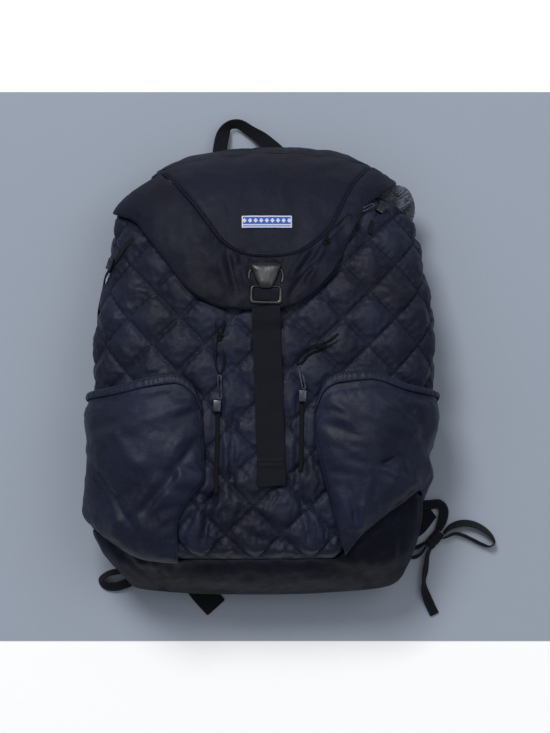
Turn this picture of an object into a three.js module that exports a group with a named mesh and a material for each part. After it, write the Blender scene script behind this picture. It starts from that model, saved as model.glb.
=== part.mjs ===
// A quilted puffer backpack that lies on its back.
// X runs to its right as it is looked down on, Y to its top, Z up, and the surface it lies on is Z = 0.
import * as THREE from "three";

// Driving sizes, in millimetres
const BAG_WIDTH = 360;
const BAG_LENGTH = 460;
const BAG_DEPTH = 112;
const BODY_WALL = 8;
const CLOTH = 1.6;
const LID_CLOTH = 2.6;
const LAYER_GAP = 0.8;
const SEAM_GAP = 0.5;
const BACK_PANEL_THICKNESS = 11;
const SPINE_PAD_WIDTH = 56;
const SHOULDER_STRAP_WIDTH = 62;
const SHOULDER_STRAP_THICKNESS = 12;
const QUILT_ACROSS = 28;
const QUILT_ALONG = 27.5;
const QUILT_RELIEF = 4.5;
const POCKET_BULGE = 19;
const BINDING_WIDTH = 9;
const LABEL_WIDTH = 51;
const LABEL_HEIGHT = 13;
const LABEL_THICKNESS = 1;
const STRAP_WIDTH = 29;
const WEBBING_THICKNESS = 1.6;
const HAUL_WEBBING_WIDTH = 15;
const LOWER_WEBBING_WIDTH = 25;
const TIE_WEBBING_WIDTH = 10;
const ZIP_WIDTH = 6;
const ZIP_THICKNESS = 1.2;
const SLIDER_LENGTH = 12;
const SLIDER_WIDTH = 8;
const SLIDER_HEIGHT = 4;
const LINK_LENGTH = 25;
const LINK_WIDTH = 4.4;
const LINK_WIRE = 1.3;
const PULL_CORD_DIAMETER = 2.2;
const BUCKLE_WIDTH = 33;
const BUCKLE_TIP_WIDTH = 14;
const BUCKLE_LENGTH = 24;
const BUCKLE_HEIGHT = 6;
const FRAME_LENGTH = 20;
const FRAME_BAR = 3.6;
const LINER_STANDOUT = 12;
const LINER_FLARE = 9;

const HALF_WIDTH = BAG_WIDTH / 2;
const HALF_LENGTH = BAG_LENGTH / 2;
const PANEL_LEVEL = SHOULDER_STRAP_THICKNESS + SEAM_GAP;
const BACK_LEVEL = PANEL_LEVEL + BACK_PANEL_THICKNESS + SEAM_GAP;
const LID_LIFT = 2 * LAYER_GAP;
const ON_LID = LID_LIFT + LID_CLOTH + LAYER_GAP;

// Sections of the bag across its length. along is a share of half the length, left and right are shares
// of half the width, front is the height of the front as a share of the depth, and waist is the height of
// the widest line.
const SECTIONS = [
  { along: -1.004, left: -0.27, right: 0.17, front: 0.11, waist: 0.05 },
  { along: -0.996, left: -0.45, right: 0.33, front: 0.2, waist: 0.08 },
  { along: -0.974, left: -0.72, right: 0.66, front: 0.33, waist: 0.12 },
  { along: -0.945, left: -0.77, right: 0.77, front: 0.5, waist: 0.16 },
  { along: -0.89, left: -0.82, right: 0.81, front: 0.73, waist: 0.22 },
  { along: -0.835, left: -0.87, right: 0.835, front: 0.9, waist: 0.27 },
  { along: -0.77, left: -0.92, right: 0.86, front: 0.97, waist: 0.31 },
  { along: -0.67, left: -0.958, right: 0.885, front: 1.01, waist: 0.34 },
  { along: -0.5, left: -0.958, right: 0.9, front: 1.03, waist: 0.36 },
  { along: -0.33, left: -0.957, right: 0.935, front: 1.03, waist: 0.37 },
  { along: -0.16, left: -0.958, right: 0.957, front: 1.01, waist: 0.37 },
  { along: 0.0, left: -0.966, right: 0.975, front: 1.0, waist: 0.37 },
  { along: 0.22, left: -0.952, right: 0.975, front: 0.97, waist: 0.36 },
  { along: 0.43, left: -0.89, right: 0.925, front: 0.9, waist: 0.33 },
  { along: 0.56, left: -0.865, right: 0.895, front: 0.84, waist: 0.31 },
  { along: 0.7, left: -0.83, right: 0.845, front: 0.76, waist: 0.27 },
  { along: 0.785, left: -0.755, right: 0.79, front: 0.69, waist: 0.24 },
  { along: 0.84, left: -0.675, right: 0.73, front: 0.62, waist: 0.21 },
  { along: 0.9, left: -0.56, right: 0.625, front: 0.51, waist: 0.18 },
  { along: 0.945, left: -0.42, right: 0.5, front: 0.39, waist: 0.15 },
  { along: 0.975, left: -0.25, right: 0.4, front: 0.27, waist: 0.12 },
  { along: 0.992, left: -0.03, right: 0.2, front: 0.14, waist: 0.06 },
];
const FRONT_EXPONENT = 2.7;
const BACK_EXPONENT = 5;
const SECTION_POINTS = 96;

// Front edge of the base panel, and rim of the mouth: around is a share of half the way round, negative to
// the left, and along is a share of half the length.
const BASE_SEAM = [
  { around: -1, along: -0.965 },
  { around: -0.72, along: -0.87 },
  { around: -0.5, along: -0.69 },
  { around: -0.3, along: -0.83 },
  { around: -0.2, along: -0.84 },
  { around: 0.2, along: -0.835 },
  { around: 0.29, along: -0.71 },
  { around: 0.38, along: -0.6 },
  { around: 0.47, along: -0.53 },
  { around: 0.56, along: -0.6 },
  { around: 0.72, along: -0.87 },
  { around: 1, along: -0.965 },
];
const MOUTH_RIM = [
  { around: -1, along: 0.81 },
  { around: -0.5, along: 0.76 },
  { around: -0.35, along: 0.81 },
  { around: 0.3, along: 0.81 },
  { around: 0.42, along: 0.79 },
  { around: 0.56, along: 0.69 },
  { around: 0.75, along: 0.72 },
  { around: 1, along: 0.81 },
];

// The lid's rounded centre seam and its hem, in pairs from the upper left corner round the bottom to the
// upper right one: shares of half the width and half the length.
const LID_EDGES = [
  { seamAcross: -0.567, seamAlong: 0.878, hemAcross: -0.84, hemAlong: 0.7 },
  { seamAcross: -0.482, seamAlong: 0.812, hemAcross: -0.742, hemAlong: 0.67 },
  { seamAcross: -0.391, seamAlong: 0.736, hemAcross: -0.66, hemAlong: 0.6 },
  { seamAcross: -0.317, seamAlong: 0.66, hemAcross: -0.555, hemAlong: 0.49 },
  { seamAcross: -0.249, seamAlong: 0.59, hemAcross: -0.425, hemAlong: 0.359 },
  { seamAcross: -0.185, seamAlong: 0.546, hemAcross: -0.289, hemAlong: 0.293 },
  { seamAcross: -0.096, seamAlong: 0.517, hemAcross: -0.165, hemAlong: 0.271 },
  { seamAcross: 0.006, seamAlong: 0.506, hemAcross: -0.02, hemAlong: 0.268 },
  { seamAcross: 0.108, seamAlong: 0.51, hemAcross: 0.115, hemAlong: 0.275 },
  { seamAcross: 0.221, seamAlong: 0.532, hemAcross: 0.238, hemAlong: 0.315 },
  { seamAcross: 0.33, seamAlong: 0.59, hemAcross: 0.38, hemAlong: 0.421 },
  { seamAcross: 0.415, seamAlong: 0.68, hemAcross: 0.476, hemAlong: 0.559 },
  { seamAcross: 0.476, seamAlong: 0.776, hemAcross: 0.54, hemAlong: 0.67 },
  { seamAcross: 0.538, seamAlong: 0.85, hemAcross: 0.635, hemAlong: 0.763 },
  { seamAcross: 0.6, seamAlong: 0.9, hemAcross: 0.745, hemAlong: 0.838 },
];
const LID_TOP_RISE = 0.064;
const LID_TOP_SEAM = [
  { around: -1, along: 0.86 },
  { around: -0.5, along: 0.885 },
  { around: -0.25, along: 0.935 },
  { around: 0, along: 0.963 },
  { around: 0.25, along: 0.95 },
  { around: 0.5, along: 0.912 },
  { around: 1, along: 0.86 },
];
const LID_APEX = { across: 0.1, along: 0.994 };
const LID_BACK_REACH = 0.62;

// Pockets: inner edge, top edge and bottom edge by columns from the inner edge (0) round the side to the
// back (1).
// across is a share of half the width along the front, back is a share of half the way round.
const POCKETS = {
  left: {
    side: -1,
    inner: [
      { rise: 0, across: 0.48 },
      { rise: 0.25, across: 0.47 },
      { rise: 0.4, across: 0.4 },
      { rise: 0.55, across: 0.315 },
      { rise: 1, across: 0.335 },
    ],
    top: [
      { out: 0, along: -0.15 },
      { out: 0.06, along: -0.05 },
      { out: 0.16, along: -0.005 },
      { out: 0.3, along: -0.02 },
      { out: 0.5, along: -0.06 },
      { out: 1, along: -0.12 },
    ],
    dents: [
      { out: 0.25, rise: 0.38, wide: 0.12, tall: 0.2, depth: 0.35 },
      { out: 0.5, rise: 0.3, wide: 0.1, tall: 0.3, depth: 0.25 },
    ],
  },
  right: {
    side: 1,
    inner: [
      { rise: 0, across: 0.46 },
      { rise: 0.3, across: 0.39 },
      { rise: 0.6, across: 0.32 },
      { rise: 0.85, across: 0.28 },
      { rise: 1, across: 0.285 },
    ],
    top: [
      { out: 0, along: -0.15 },
      { out: 0.05, along: -0.04 },
      { out: 0.13, along: 0.0 },
      { out: 0.28, along: 0.01 },
      { out: 0.5, along: -0.05 },
      { out: 1, along: -0.12 },
    ],
    dents: [
      { out: 0.45, rise: 0.5, wide: 0.13, tall: 0.16, depth: 0.6 },
      { out: 0.22, rise: 0.3, wide: 0.08, tall: 0.2, depth: 0.3 },
    ],
  },
};
const POCKET_BACK = 0.585;
const POCKET_COLUMNS = 12;
const POCKET_ROWS = 9;

// Monotone cubic through the rows of a table: key gives the place, value the height.
function curveThrough(table, key, value) {
  const places = table.map((row) => row[key]);
  const heights = table.map((row) => row[value]);
  const slopes = [];
  for (let i = 0; i + 1 < places.length; i++) {
    slopes.push((heights[i + 1] - heights[i]) / (places[i + 1] - places[i]));
  }
  const tangents = places.map((_, i) => {
    const before = slopes[Math.max(i - 1, 0)];
    const after = slopes[Math.min(i, slopes.length - 1)];
    return before * after <= 0 ? 0 : (2 * before * after) / (before + after);
  });
  return (place) => {
    const inside = THREE.MathUtils.clamp(place, places[0], places[places.length - 1]);
    let i = 0;
    while (i + 2 < places.length && inside > places[i + 1]) i++;
    const span = places[i + 1] - places[i];
    const t = (inside - places[i]) / span;
    const rise = heights[i + 1] - heights[i];
    const bend = tangents[i] * span - rise;
    const counter = rise - tangents[i + 1] * span;
    return heights[i] + t * rise + t * (1 - t) * ((1 - t) * bend + t * counter);
  };
}

const sectionCurves = {
  left: curveThrough(SECTIONS, "along", "left"),
  right: curveThrough(SECTIONS, "along", "right"),
  front: curveThrough(SECTIONS, "along", "front"),
  waist: curveThrough(SECTIONS, "along", "waist"),
};
const sectionCache = new Map();

// One half of the section at y, from the middle of the front round the side to the middle of the back, as
// points with the length along it.
function sectionHalf(y, side) {
  const name = side + "|" + y.toFixed(4);
  if (sectionCache.has(name)) return sectionCache.get(name);
  const along = y / HALF_LENGTH;
  const left = sectionCurves.left(along) * HALF_WIDTH;
  const right = sectionCurves.right(along) * HALF_WIDTH;
  const middle = (left + right) / 2;
  const reach = (right - left) / 2;
  const waist = sectionCurves.waist(along) * BAG_DEPTH;
  const front = sectionCurves.front(along) * BAG_DEPTH;
  const points = [];
  let length = 0;
  for (let i = 0; i <= SECTION_POINTS; i++) {
    const turn = Math.PI / 2 - (i / SECTION_POINTS) * Math.PI;
    const power = 2 / (turn > 0 ? FRONT_EXPONENT : BACK_EXPONENT);
    const out = Math.abs(Math.cos(turn)) ** power;
    const up = Math.abs(Math.sin(turn)) ** power;
    const height = turn > 0 ? waist + (front - waist) * up : waist * (1 - up);
    const point = { x: middle + side * reach * out, z: BACK_LEVEL + height, length: 0 };
    if (i > 0) {
      const last = points[i - 1];
      length += Math.hypot(point.x - last.x, point.z - last.z);
      point.length = length;
    }
    points.push(point);
  }
  const half = { points, length, middle, reach };
  sectionCache.set(name, half);
  return half;
}

function betweenPoints(points, key, value) {
  let low = 0;
  let high = points.length - 1;
  while (high - low > 1) {
    const mid = (low + high) >> 1;
    if (points[mid][key] < value) low = mid;
    else high = mid;
  }
  const share = (value - points[low][key]) / (points[high][key] - points[low][key] || 1);
  return { low, high, share: THREE.MathUtils.clamp(share, 0, 1) };
}

// Point of the bag's outer form at the length u round from the middle of the front, at y.
function formPoint(u, y) {
  const half = sectionHalf(y, u < 0 ? -1 : 1);
  const spot = betweenPoints(half.points, "length", Math.min(Math.abs(u), half.length));
  const a = half.points[spot.low];
  const b = half.points[spot.high];
  const x = THREE.MathUtils.lerp(a.x, b.x, spot.share);
  return new THREE.Vector3(x, y, THREE.MathUtils.lerp(a.z, b.z, spot.share));
}

const NORMAL_STEP = 3;
const LONGEST_Y = SECTIONS[SECTIONS.length - 1].along * HALF_LENGTH;
const LOWEST_Y = SECTIONS[0].along * HALF_LENGTH;

function formNormal(u, y) {
  const half = sectionHalf(y, u < 0 ? -1 : 1).length;
  const inside = THREE.MathUtils.clamp(u, NORMAL_STEP - half, half - NORMAL_STEP);
  const up = Math.min(y + NORMAL_STEP, LONGEST_Y);
  const down = Math.max(y - NORMAL_STEP, LOWEST_Y);
  const around = formPoint(inside + NORMAL_STEP, y).sub(formPoint(inside - NORMAL_STEP, y));
  const along = formPoint(inside, up).sub(formPoint(inside, down));
  return around.cross(along).normalize();
}

// Point above the bag's outer form.
function above(u, y, lift) {
  return formPoint(u, y).addScaledVector(formNormal(u, y), lift);
}

const halfRound = (y, side) => sectionHalf(y, side).length;

// Length round the front at which the form passes x.
function roundAt(x, y) {
  const middle = sectionHalf(y, 1).middle;
  const side = x < middle ? -1 : 1;
  const half = sectionHalf(y, side);
  const quarter = half.points.slice(0, SECTION_POINTS / 2 + 1);
  const reach = quarter.map((point) => ({ out: Math.abs(point.x - middle), length: point.length }));
  const spot = betweenPoints(reach, "out", Math.abs(x - middle));
  return side * THREE.MathUtils.lerp(reach[spot.low].length, reach[spot.high].length, spot.share);
}

// Length round and y of a spot given by shares of half the width and half the length.
function spotAt(across, along) {
  const y = along * HALF_LENGTH;
  return { u: roundAt(across * HALF_WIDTH, y), y };
}

// Closed solid between an outer and an inner grid of points; columns run to the right round the bag, rows
// run up. A row or column that shrinks to one point closes by itself. A ring joins its last column to its
// first.
function slab({ columns, rows, outer, inner, ring = false, flip = () => false }) {
  const positions = [];
  const triangle = (...corners) => {
    const [a, b, c] = corners;
    const meets = a.distanceTo(b) < 1e-3 || b.distanceTo(c) < 1e-3 || c.distanceTo(a) < 1e-3;
    if (meets) return;
    for (const corner of corners) positions.push(corner.x, corner.y, corner.z);
  };
  const quad = (a, b, c, d, turned = false) => {
    if (turned) {
      triangle(a, b, d);
      triangle(b, c, d);
    } else {
      triangle(a, b, c);
      triangle(a, c, d);
    }
  };
  const count = ring ? columns : columns + 1;
  const grids = [outer, inner].map((place) => {
    const grid = [];
    for (let i = 0; i < count; i++) {
      grid.push(Array.from({ length: rows + 1 }, (_, j) => place(i, j)));
    }
    return grid;
  });
  const [out, back] = grids;
  for (let i = 0; i < columns; i++) {
    const next = (i + 1) % count;
    for (let j = 0; j < rows; j++) {
      quad(out[i][j], out[next][j], out[next][j + 1], out[i][j + 1], flip(i, j));
      quad(back[i][j], back[i][j + 1], back[next][j + 1], back[next][j]);
    }
    quad(back[i][0], back[next][0], out[next][0], out[i][0]);
    quad(out[i][rows], out[next][rows], back[next][rows], back[i][rows]);
  }
  if (!ring) {
    for (let j = 0; j < rows; j++) {
      quad(back[0][j], out[0][j], out[0][j + 1], back[0][j + 1]);
      quad(back[columns][j], back[columns][j + 1], out[columns][j + 1], out[columns][j]);
    }
  }
  return geometryOf(positions);
}

function geometryOf(positions) {
  const geometry = new THREE.BufferGeometry();
  geometry.setAttribute("position", new THREE.Float32BufferAttribute(positions, 3));
  geometry.computeVertexNormals();
  return geometry;
}

// Strip of cloth or webbing along a way of [u, y] spots on the bag, from one lift above the form to another.
function bandOnBag({ way, width, lift, thickness, steps, across = 2 }) {
  const curve = new THREE.CatmullRomCurve3(way.map(({ u, y }) => new THREE.Vector3(u, y, 0)));
  const spots = Array.from({ length: steps + 1 }, (_, j) => {
    const centre = curve.getPointAt(j / steps);
    const ahead = curve.getTangentAt(j / steps);
    return { centre, side: new THREE.Vector3(ahead.y, -ahead.x, 0) };
  });
  const place = (extra) => (i, j) => {
    const { centre, side } = spots[j];
    const off = (i / across - 0.5) * width;
    const height = typeof lift === "function" ? lift(j / steps, i / across) : lift;
    return above(centre.x + side.x * off, centre.y + side.y * off, height + extra);
  };
  return slab({ columns: across, rows: steps, outer: place(thickness), inner: place(0) });
}

// Flat webbing along free stations: at is the middle, face the way its flat side looks, wide a share of the
// width.
function ribbon({ stations, width, thickness, steps }) {
  const path = new THREE.CatmullRomCurve3(stations.map(({ at }) => new THREE.Vector3(...at)));
  const faces = new THREE.CatmullRomCurve3(stations.map(({ face }) => new THREE.Vector3(...face)));
  const widths = stations.map(({ wide = 1 }) => new THREE.Vector3(wide, 0, 0));
  const widthCurve = new THREE.CatmullRomCurve3(widths);
  const frames = Array.from({ length: steps + 1 }, (_, j) => {
    const centre = path.getPoint(j / steps);
    const ahead = path.getTangent(j / steps);
    const face = faces.getPoint(j / steps);
    const side = ahead.clone().cross(face).normalize();
    face.copy(side).cross(ahead).normalize();
    return { centre, side, face, reach: (widthCurve.getPoint(j / steps).x * width) / 2 };
  });
  const place = (lift) => (i, j) => {
    const { centre, side, face, reach } = frames[j];
    return centre.clone().addScaledVector(side, (2 * i - 1) * reach).addScaledVector(face, lift);
  };
  return slab({ columns: 1, rows: steps, outer: place(thickness / 2), inner: place(-thickness / 2) });
}

const bag = new THREE.Group();

function cloth(color, roughness = 0.62) {
  return new THREE.MeshStandardMaterial({ color, roughness, metalness: 0 });
}

const materials = {
  quilt: cloth(0x23252f),
  lid: cloth(0x232630),
  pocket: cloth(0x2a323e, 0.5),
  base: cloth(0x252a36, 0.55),
  back: cloth(0x1c1d22, 0.85),
  liner: cloth(0xaab0bb, 0.4),
  webbing: cloth(0x1b1e26, 0.75),
  label: cloth(0x2f58b8, 0.5),
  zip: cloth(0x15161b, 0.7),
  cord: cloth(0x14151a, 0.7),
  plastic: new THREE.MeshStandardMaterial({ color: 0x0d0e11, roughness: 0.25, metalness: 0 }),
  metal: new THREE.MeshStandardMaterial({ color: 0xb9bcc2, roughness: 0.3, metalness: 1 }),
};

function add(name, geometry, material, parent = bag) {
  const mesh = new THREE.Mesh(geometry, material);
  mesh.name = name;
  parent.add(mesh);
  return mesh;
}

// Group whose X runs round the bag, Y up it and Z out of it, at a lift above the form.
function seat(u, y, lift, turn = 0) {
  const normal = formNormal(u, y);
  const along = formPoint(u, Math.min(y + NORMAL_STEP, LONGEST_Y)).sub(formPoint(u, y - NORMAL_STEP));
  const across = along.clone().cross(normal).normalize();
  const up = normal.clone().cross(across);
  const frame = new THREE.Matrix4().makeBasis(across, up, normal);
  frame.multiply(new THREE.Matrix4().makeRotationZ(turn));
  const group = new THREE.Group();
  group.quaternion.setFromRotationMatrix(frame);
  group.position.copy(above(u, y, lift));
  bag.add(group);
  return group;
}

// Main body: the quilting is a lattice of diamonds, with a grid point at each crossing and each puff
const QUILT_SHIFT = -3.6;
const QUILT_TOP_Y = 192.8;
const QUILT_ROWS = 14;
const FRONT_COLUMNS = 7;
const SIDE_COLUMNS = 6;
const MOUTH_WARP_ROW = 3;
const SEAM_WARP_ROW = 8;

const baseSeam = curveThrough(BASE_SEAM, "around", "along");
const mouthRim = curveThrough(MOUTH_RIM, "around", "along");

function bodyColumn(i) {
  const half = FRONT_COLUMNS + SIDE_COLUMNS;
  const k = i - half;
  const side = Math.sign(k) || 1;
  const latticeEnd = QUILT_ACROSS * FRONT_COLUMNS + side * QUILT_SHIFT;
  return {
    k,
    u: (y) => {
      if (Math.abs(k) <= FRONT_COLUMNS) return QUILT_SHIFT + QUILT_ACROSS * k;
      const share = (Math.abs(k) - FRONT_COLUMNS) / SIDE_COLUMNS;
      return side * THREE.MathUtils.lerp(latticeEnd, halfRound(y, side), share);
    },
  };
}

function bodyRowY(u, j, reachAt) {
  const free = QUILT_TOP_Y - QUILT_ALONG * (QUILT_ROWS - j);
  const rowFromTop = QUILT_ROWS - j;
  const warpTop = QUILT_TOP_Y - QUILT_ALONG * MOUTH_WARP_ROW;
  const warpBottom = QUILT_TOP_Y - QUILT_ALONG * SEAM_WARP_ROW;
  const around = THREE.MathUtils.clamp(u / reachAt, -1, 1);
  if (rowFromTop < MOUTH_WARP_ROW) {
    const share = 1 - rowFromTop / MOUTH_WARP_ROW;
    return THREE.MathUtils.lerp(warpTop, mouthRim(around) * HALF_LENGTH, share);
  }
  if (rowFromTop > SEAM_WARP_ROW) {
    const share = (rowFromTop - SEAM_WARP_ROW) / (QUILT_ROWS - SEAM_WARP_ROW);
    return THREE.MathUtils.lerp(warpBottom, baseSeam(around) * HALF_LENGTH, share);
  }
  return free;
}

function bodySpot(i, j) {
  const column = bodyColumn(i);
  const side = column.k < 0 ? -1 : 1;
  const guess = QUILT_TOP_Y - QUILT_ALONG * (QUILT_ROWS - j);
  const inside = THREE.MathUtils.clamp(guess, LOWEST_Y, LONGEST_Y);
  const reachAt = halfRound(inside, side);
  const y = bodyRowY(column.u(inside), j, reachAt);
  return { u: column.u(y), y };
}

function buildBody() {
  const columns = 2 * (FRONT_COLUMNS + SIDE_COLUMNS);
  const crossing = (i, j) => (i - FRONT_COLUMNS - SIDE_COLUMNS + j) % 2 === 0;
  const outer = (i, j) => {
    const { u, y } = bodySpot(i, j);
    const edge = j === 0 || j === QUILT_ROWS;
    return above(u, y, crossing(i, j) || edge ? -QUILT_RELIEF : 0);
  };
  const inner = (i, j) => {
    const { u, y } = bodySpot(i, j);
    return above(u, y, -QUILT_RELIEF - BODY_WALL);
  };
  const flip = (i, j) => !crossing(i, j);
  return slab({ columns, rows: QUILT_ROWS, outer, inner, ring: true, flip });
}
add("main_body", buildBody(), materials.quilt);

// Base panel: a closed end that shares the seam's grid points with the body
const BODY_COLUMNS = 2 * (FRONT_COLUMNS + SIDE_COLUMNS);
const BASE_ROWS = 6;
const BASE_GAP = 3 * SEAM_GAP;

function buildBase() {
  const tip = sectionHalf(LOWEST_Y, 1).middle;
  const place = (inset) => (i, j) => {
    const seam = bodySpot(i, 0);
    const side = i < BODY_COLUMNS / 2 ? -1 : 1;
    const share = seam.u / halfRound(seam.y, side);
    const rise = j / BASE_ROWS;
    const ease = 1 - Math.cos((rise * Math.PI) / 2);
    const y = THREE.MathUtils.lerp(LOWEST_Y + inset, seam.y - BASE_GAP, ease);
    if (j === 0) return new THREE.Vector3(tip, y, BACK_LEVEL + sectionCurves.waist(-1) * BAG_DEPTH);
    return above(share * halfRound(y, side), y, -QUILT_RELIEF * rise ** 2 - inset);
  };
  const shape = { columns: BODY_COLUMNS, rows: BASE_ROWS, ring: true };
  return slab({ ...shape, outer: place(0), inner: place(CLOTH) });
}
add("base_panel", buildBase(), materials.base);

// Back panel: padded, with a flat spine pad between the shoulder straps that the bag rests on
const PANEL_WIDTH_SHARE = 0.82;
const PANEL_TOP_Y = HALF_LENGTH * 0.945;
const PANEL_BOTTOM_Y = -HALF_LENGTH * 0.965;
const PANEL_ROWS = 14;
const PAD_CHAMFER = 5;

function backHeight(x, y) {
  const along = y / HALF_LENGTH;
  const { middle, reach } = sectionHalf(y, 1);
  const out = Math.min(Math.abs(x - middle) / reach, 1);
  const up = (1 - out ** BACK_EXPONENT) ** (1 / BACK_EXPONENT);
  return BACK_LEVEL + sectionCurves.waist(along) * BAG_DEPTH * (1 - up);
}

function buildBackPanel() {
  const pad = SPINE_PAD_WIDTH / 2;
  const columnAt = (i, edge) => [-edge, -0.8 * edge, -pad - PAD_CHAMFER, -pad, 0][i];
  const place = (level) => (i, j) => {
    const y = THREE.MathUtils.lerp(PANEL_BOTTOM_Y, PANEL_TOP_Y, j / PANEL_ROWS);
    const { middle, reach } = sectionHalf(y, 1);
    const edge = PANEL_WIDTH_SHARE * reach;
    const across = i <= 4 ? columnAt(i, edge) : -columnAt(8 - i, edge);
    const x = Math.abs(across) > pad + PAD_CHAMFER ? middle + across : across;
    return new THREE.Vector3(x, y, level(x, y, Math.abs(across) <= pad));
  };
  const top = (x, y) => backHeight(x, y) - SEAM_GAP;
  const bottom = (x, y, onPad) => (onPad ? 0 : PANEL_LEVEL);
  return slab({ columns: 8, rows: PANEL_ROWS, outer: place(top), inner: place(bottom) });
}
add("back_panel", buildBackPanel(), materials.back);

// Liner: stands in the mouth and flares over its rim at the right, outside the lid
const LINER_ROWS = 3;
const LINER_SPLIT = 2;
const LINER_RISE = [0, 0, 0.5, 1];
const LINER_OUT = [0, 0, 0.12, 1];

// Spot between two of the body's columns, with c counted in parts of a column.
function linerSpot(c, j) {
  const i = Math.floor(c / LINER_SPLIT);
  const next = (i + 1) % BODY_COLUMNS;
  return { a: bodySpot(i, j), b: bodySpot(next, j), share: (c % LINER_SPLIT) / LINER_SPLIT };
}

function buildLiner() {
  const inside = -QUILT_RELIEF - BODY_WALL - 3 * LAYER_GAP - CLOTH;
  const place = (extra) => (c, j) => {
    const { a, b, share } = linerSpot(c, j === 0 ? QUILT_ROWS - 1 : QUILT_ROWS);
    const side = c < (LINER_SPLIT * BODY_COLUMNS) / 2 ? -1 : 1;
    const around = a.u / halfRound(a.y, side) + (share * 2) / BODY_COLUMNS;
    const rise = THREE.MathUtils.smoothstep(around, 0.4, 0.47);
    const flare = rise * (1 - THREE.MathUtils.smoothstep(around, 0.5, 0.58));
    const stand = LINER_RISE[j] * (LINER_STANDOUT * flare + 2 * LAYER_GAP);
    const lift = inside + extra + (LINER_FLARE - inside) * LINER_OUT[j] * flare;
    const start = above(a.u, a.y + stand, lift);
    return start.lerp(above(b.u, b.y + stand, lift), share);
  };
  const shape = { columns: LINER_SPLIT * BODY_COLUMNS, rows: LINER_ROWS, ring: true };
  return slab({ ...shape, outer: place(CLOTH), inner: place(0) });
}
add("mouth_liner", buildLiner(), materials.liner);

// Lid: a surround with the hem, a rounded centre panel, and a top that closes down to the back panel
const SURROUND_ROWS = 4;
const CENTRE_COLUMNS = 12;
const TOP_COLUMNS = 30;
const TOP_ROWS = 5;
const lidTopSeam = curveThrough(LID_TOP_SEAM, "around", "along");

const seamSpots = LID_EDGES.map((row) => spotAt(row.seamAcross, row.seamAlong));
const hemSpots = LID_EDGES.map((row) => spotAt(row.hemAcross, row.hemAlong));

function mix(a, b, share) {
  return { u: THREE.MathUtils.lerp(a.u, b.u, share), y: THREE.MathUtils.lerp(a.y, b.y, share) };
}

function onLid(spot, extra) {
  return above(spot.u, spot.y, LID_LIFT + extra);
}

function buildSurround() {
  const place = (extra) => (i, j) => {
    const seam = seamSpots[i];
    const hem = hemSpots[i];
    const start = SEAM_GAP / Math.hypot(seam.u - hem.u, seam.y - hem.y);
    return onLid(mix(hem, seam, (j / SURROUND_ROWS) * (1 - start)), extra);
  };
  const shape = { columns: LID_EDGES.length - 1, rows: SURROUND_ROWS };
  return slab({ ...shape, outer: place(LID_CLOTH), inner: place(0) });
}
add("lid_surround", buildSurround(), materials.lid);

function centreSpot(i, j) {
  const last = LID_EDGES.length - 1;
  const rows = last / 2;
  const left = seamSpots[rows - j];
  const right = seamSpots[rows + j];
  const across = i / CENTRE_COLUMNS;
  const spot = mix(left, right, across);
  const arch = 4 * across * (1 - across);
  spot.y += arch * HALF_LENGTH * LID_TOP_RISE * (j / rows) ** 3;
  return spot;
}

function buildCentre() {
  const rows = (LID_EDGES.length - 1) / 2;
  const place = (extra) => (i, j) => onLid(centreSpot(i, j), extra);
  return slab({ columns: CENTRE_COLUMNS, rows, outer: place(LID_CLOTH), inner: place(0) });
}
add("lid_centre", buildCentre(), materials.lid);

function buildLidTop() {
  const apexY = LID_APEX.along * HALF_LENGTH;
  const place = (extra) => (i, j) => {
    const around = THREE.MathUtils.lerp(-LID_BACK_REACH, LID_BACK_REACH, i / TOP_COLUMNS);
    const ease = Math.sin(((j / TOP_ROWS) * Math.PI) / 2);
    const low = lidTopSeam(around) * HALF_LENGTH + SEAM_GAP;
    const y = THREE.MathUtils.lerp(low, Math.min(apexY, LONGEST_Y), ease);
    if (j === TOP_ROWS) {
      const z = BACK_LEVEL + sectionCurves.waist(1) * BAG_DEPTH;
      return new THREE.Vector3(LID_APEX.across * HALF_WIDTH, LONGEST_Y + LID_LIFT + extra, z);
    }
    return onLid({ u: around * halfRound(y, around < 0 ? -1 : 1), y }, extra);
  };
  return slab({ columns: TOP_COLUMNS, rows: TOP_ROWS, outer: place(LID_CLOTH), inner: place(0) });
}
add("lid_top", buildLidTop(), materials.lid);

const LABEL_AT = { x: 4, y: 150.5 };
const LABEL_TILT = 0.045;
const LABEL_LIFT = ON_LID + 0.4;
const label = seat(roundAt(LABEL_AT.x, LABEL_AT.y), LABEL_AT.y, LABEL_LIFT, -LABEL_TILT);
const labelPlate = new THREE.BoxGeometry(LABEL_WIDTH, LABEL_HEIGHT, LABEL_THICKNESS);
add("lid_label", labelPlate, materials.label, label);

// Pockets: cloth domes, open towards the body, with a binding along the top edge. The swell is a bent sine,
// its crest nearer the inner edge, and it stays a little open at the mouth.
const POCKET_FOOT = -0.8;
const POCKET_HEIGHT = 0.7;
const POCKET_CREST = 0.66;
const POCKET_MOUTH = 0.965;
const POCKET_SWELL_ACROSS = 0.8;
const POCKET_SWELL_ALONG = 0.6;
function pocketSpot(pocket, out, rise) {
  const innerAcross = curveThrough(pocket.inner, "rise", "across");
  const topAlong = curveThrough(pocket.top, "out", "along");
  const { side } = pocket;
  const top = topAlong(out) * HALF_LENGTH;
  const innerAlong = THREE.MathUtils.lerp(POCKET_FOOT, topAlong(0), rise);
  const innerSpot = spotAt(side * innerAcross(rise), innerAlong);
  const backY = THREE.MathUtils.lerp(POCKET_FOOT * HALF_LENGTH, top, rise);
  const backU = side * POCKET_BACK * halfRound(backY, side);
  const u = THREE.MathUtils.lerp(innerSpot.u, backU, out);
  const seamAt = baseSeam(u / halfRound(backY, side)) * HALF_LENGTH + SEAM_GAP;
  return { u, y: THREE.MathUtils.lerp(seamAt, top, rise) };
}

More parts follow.
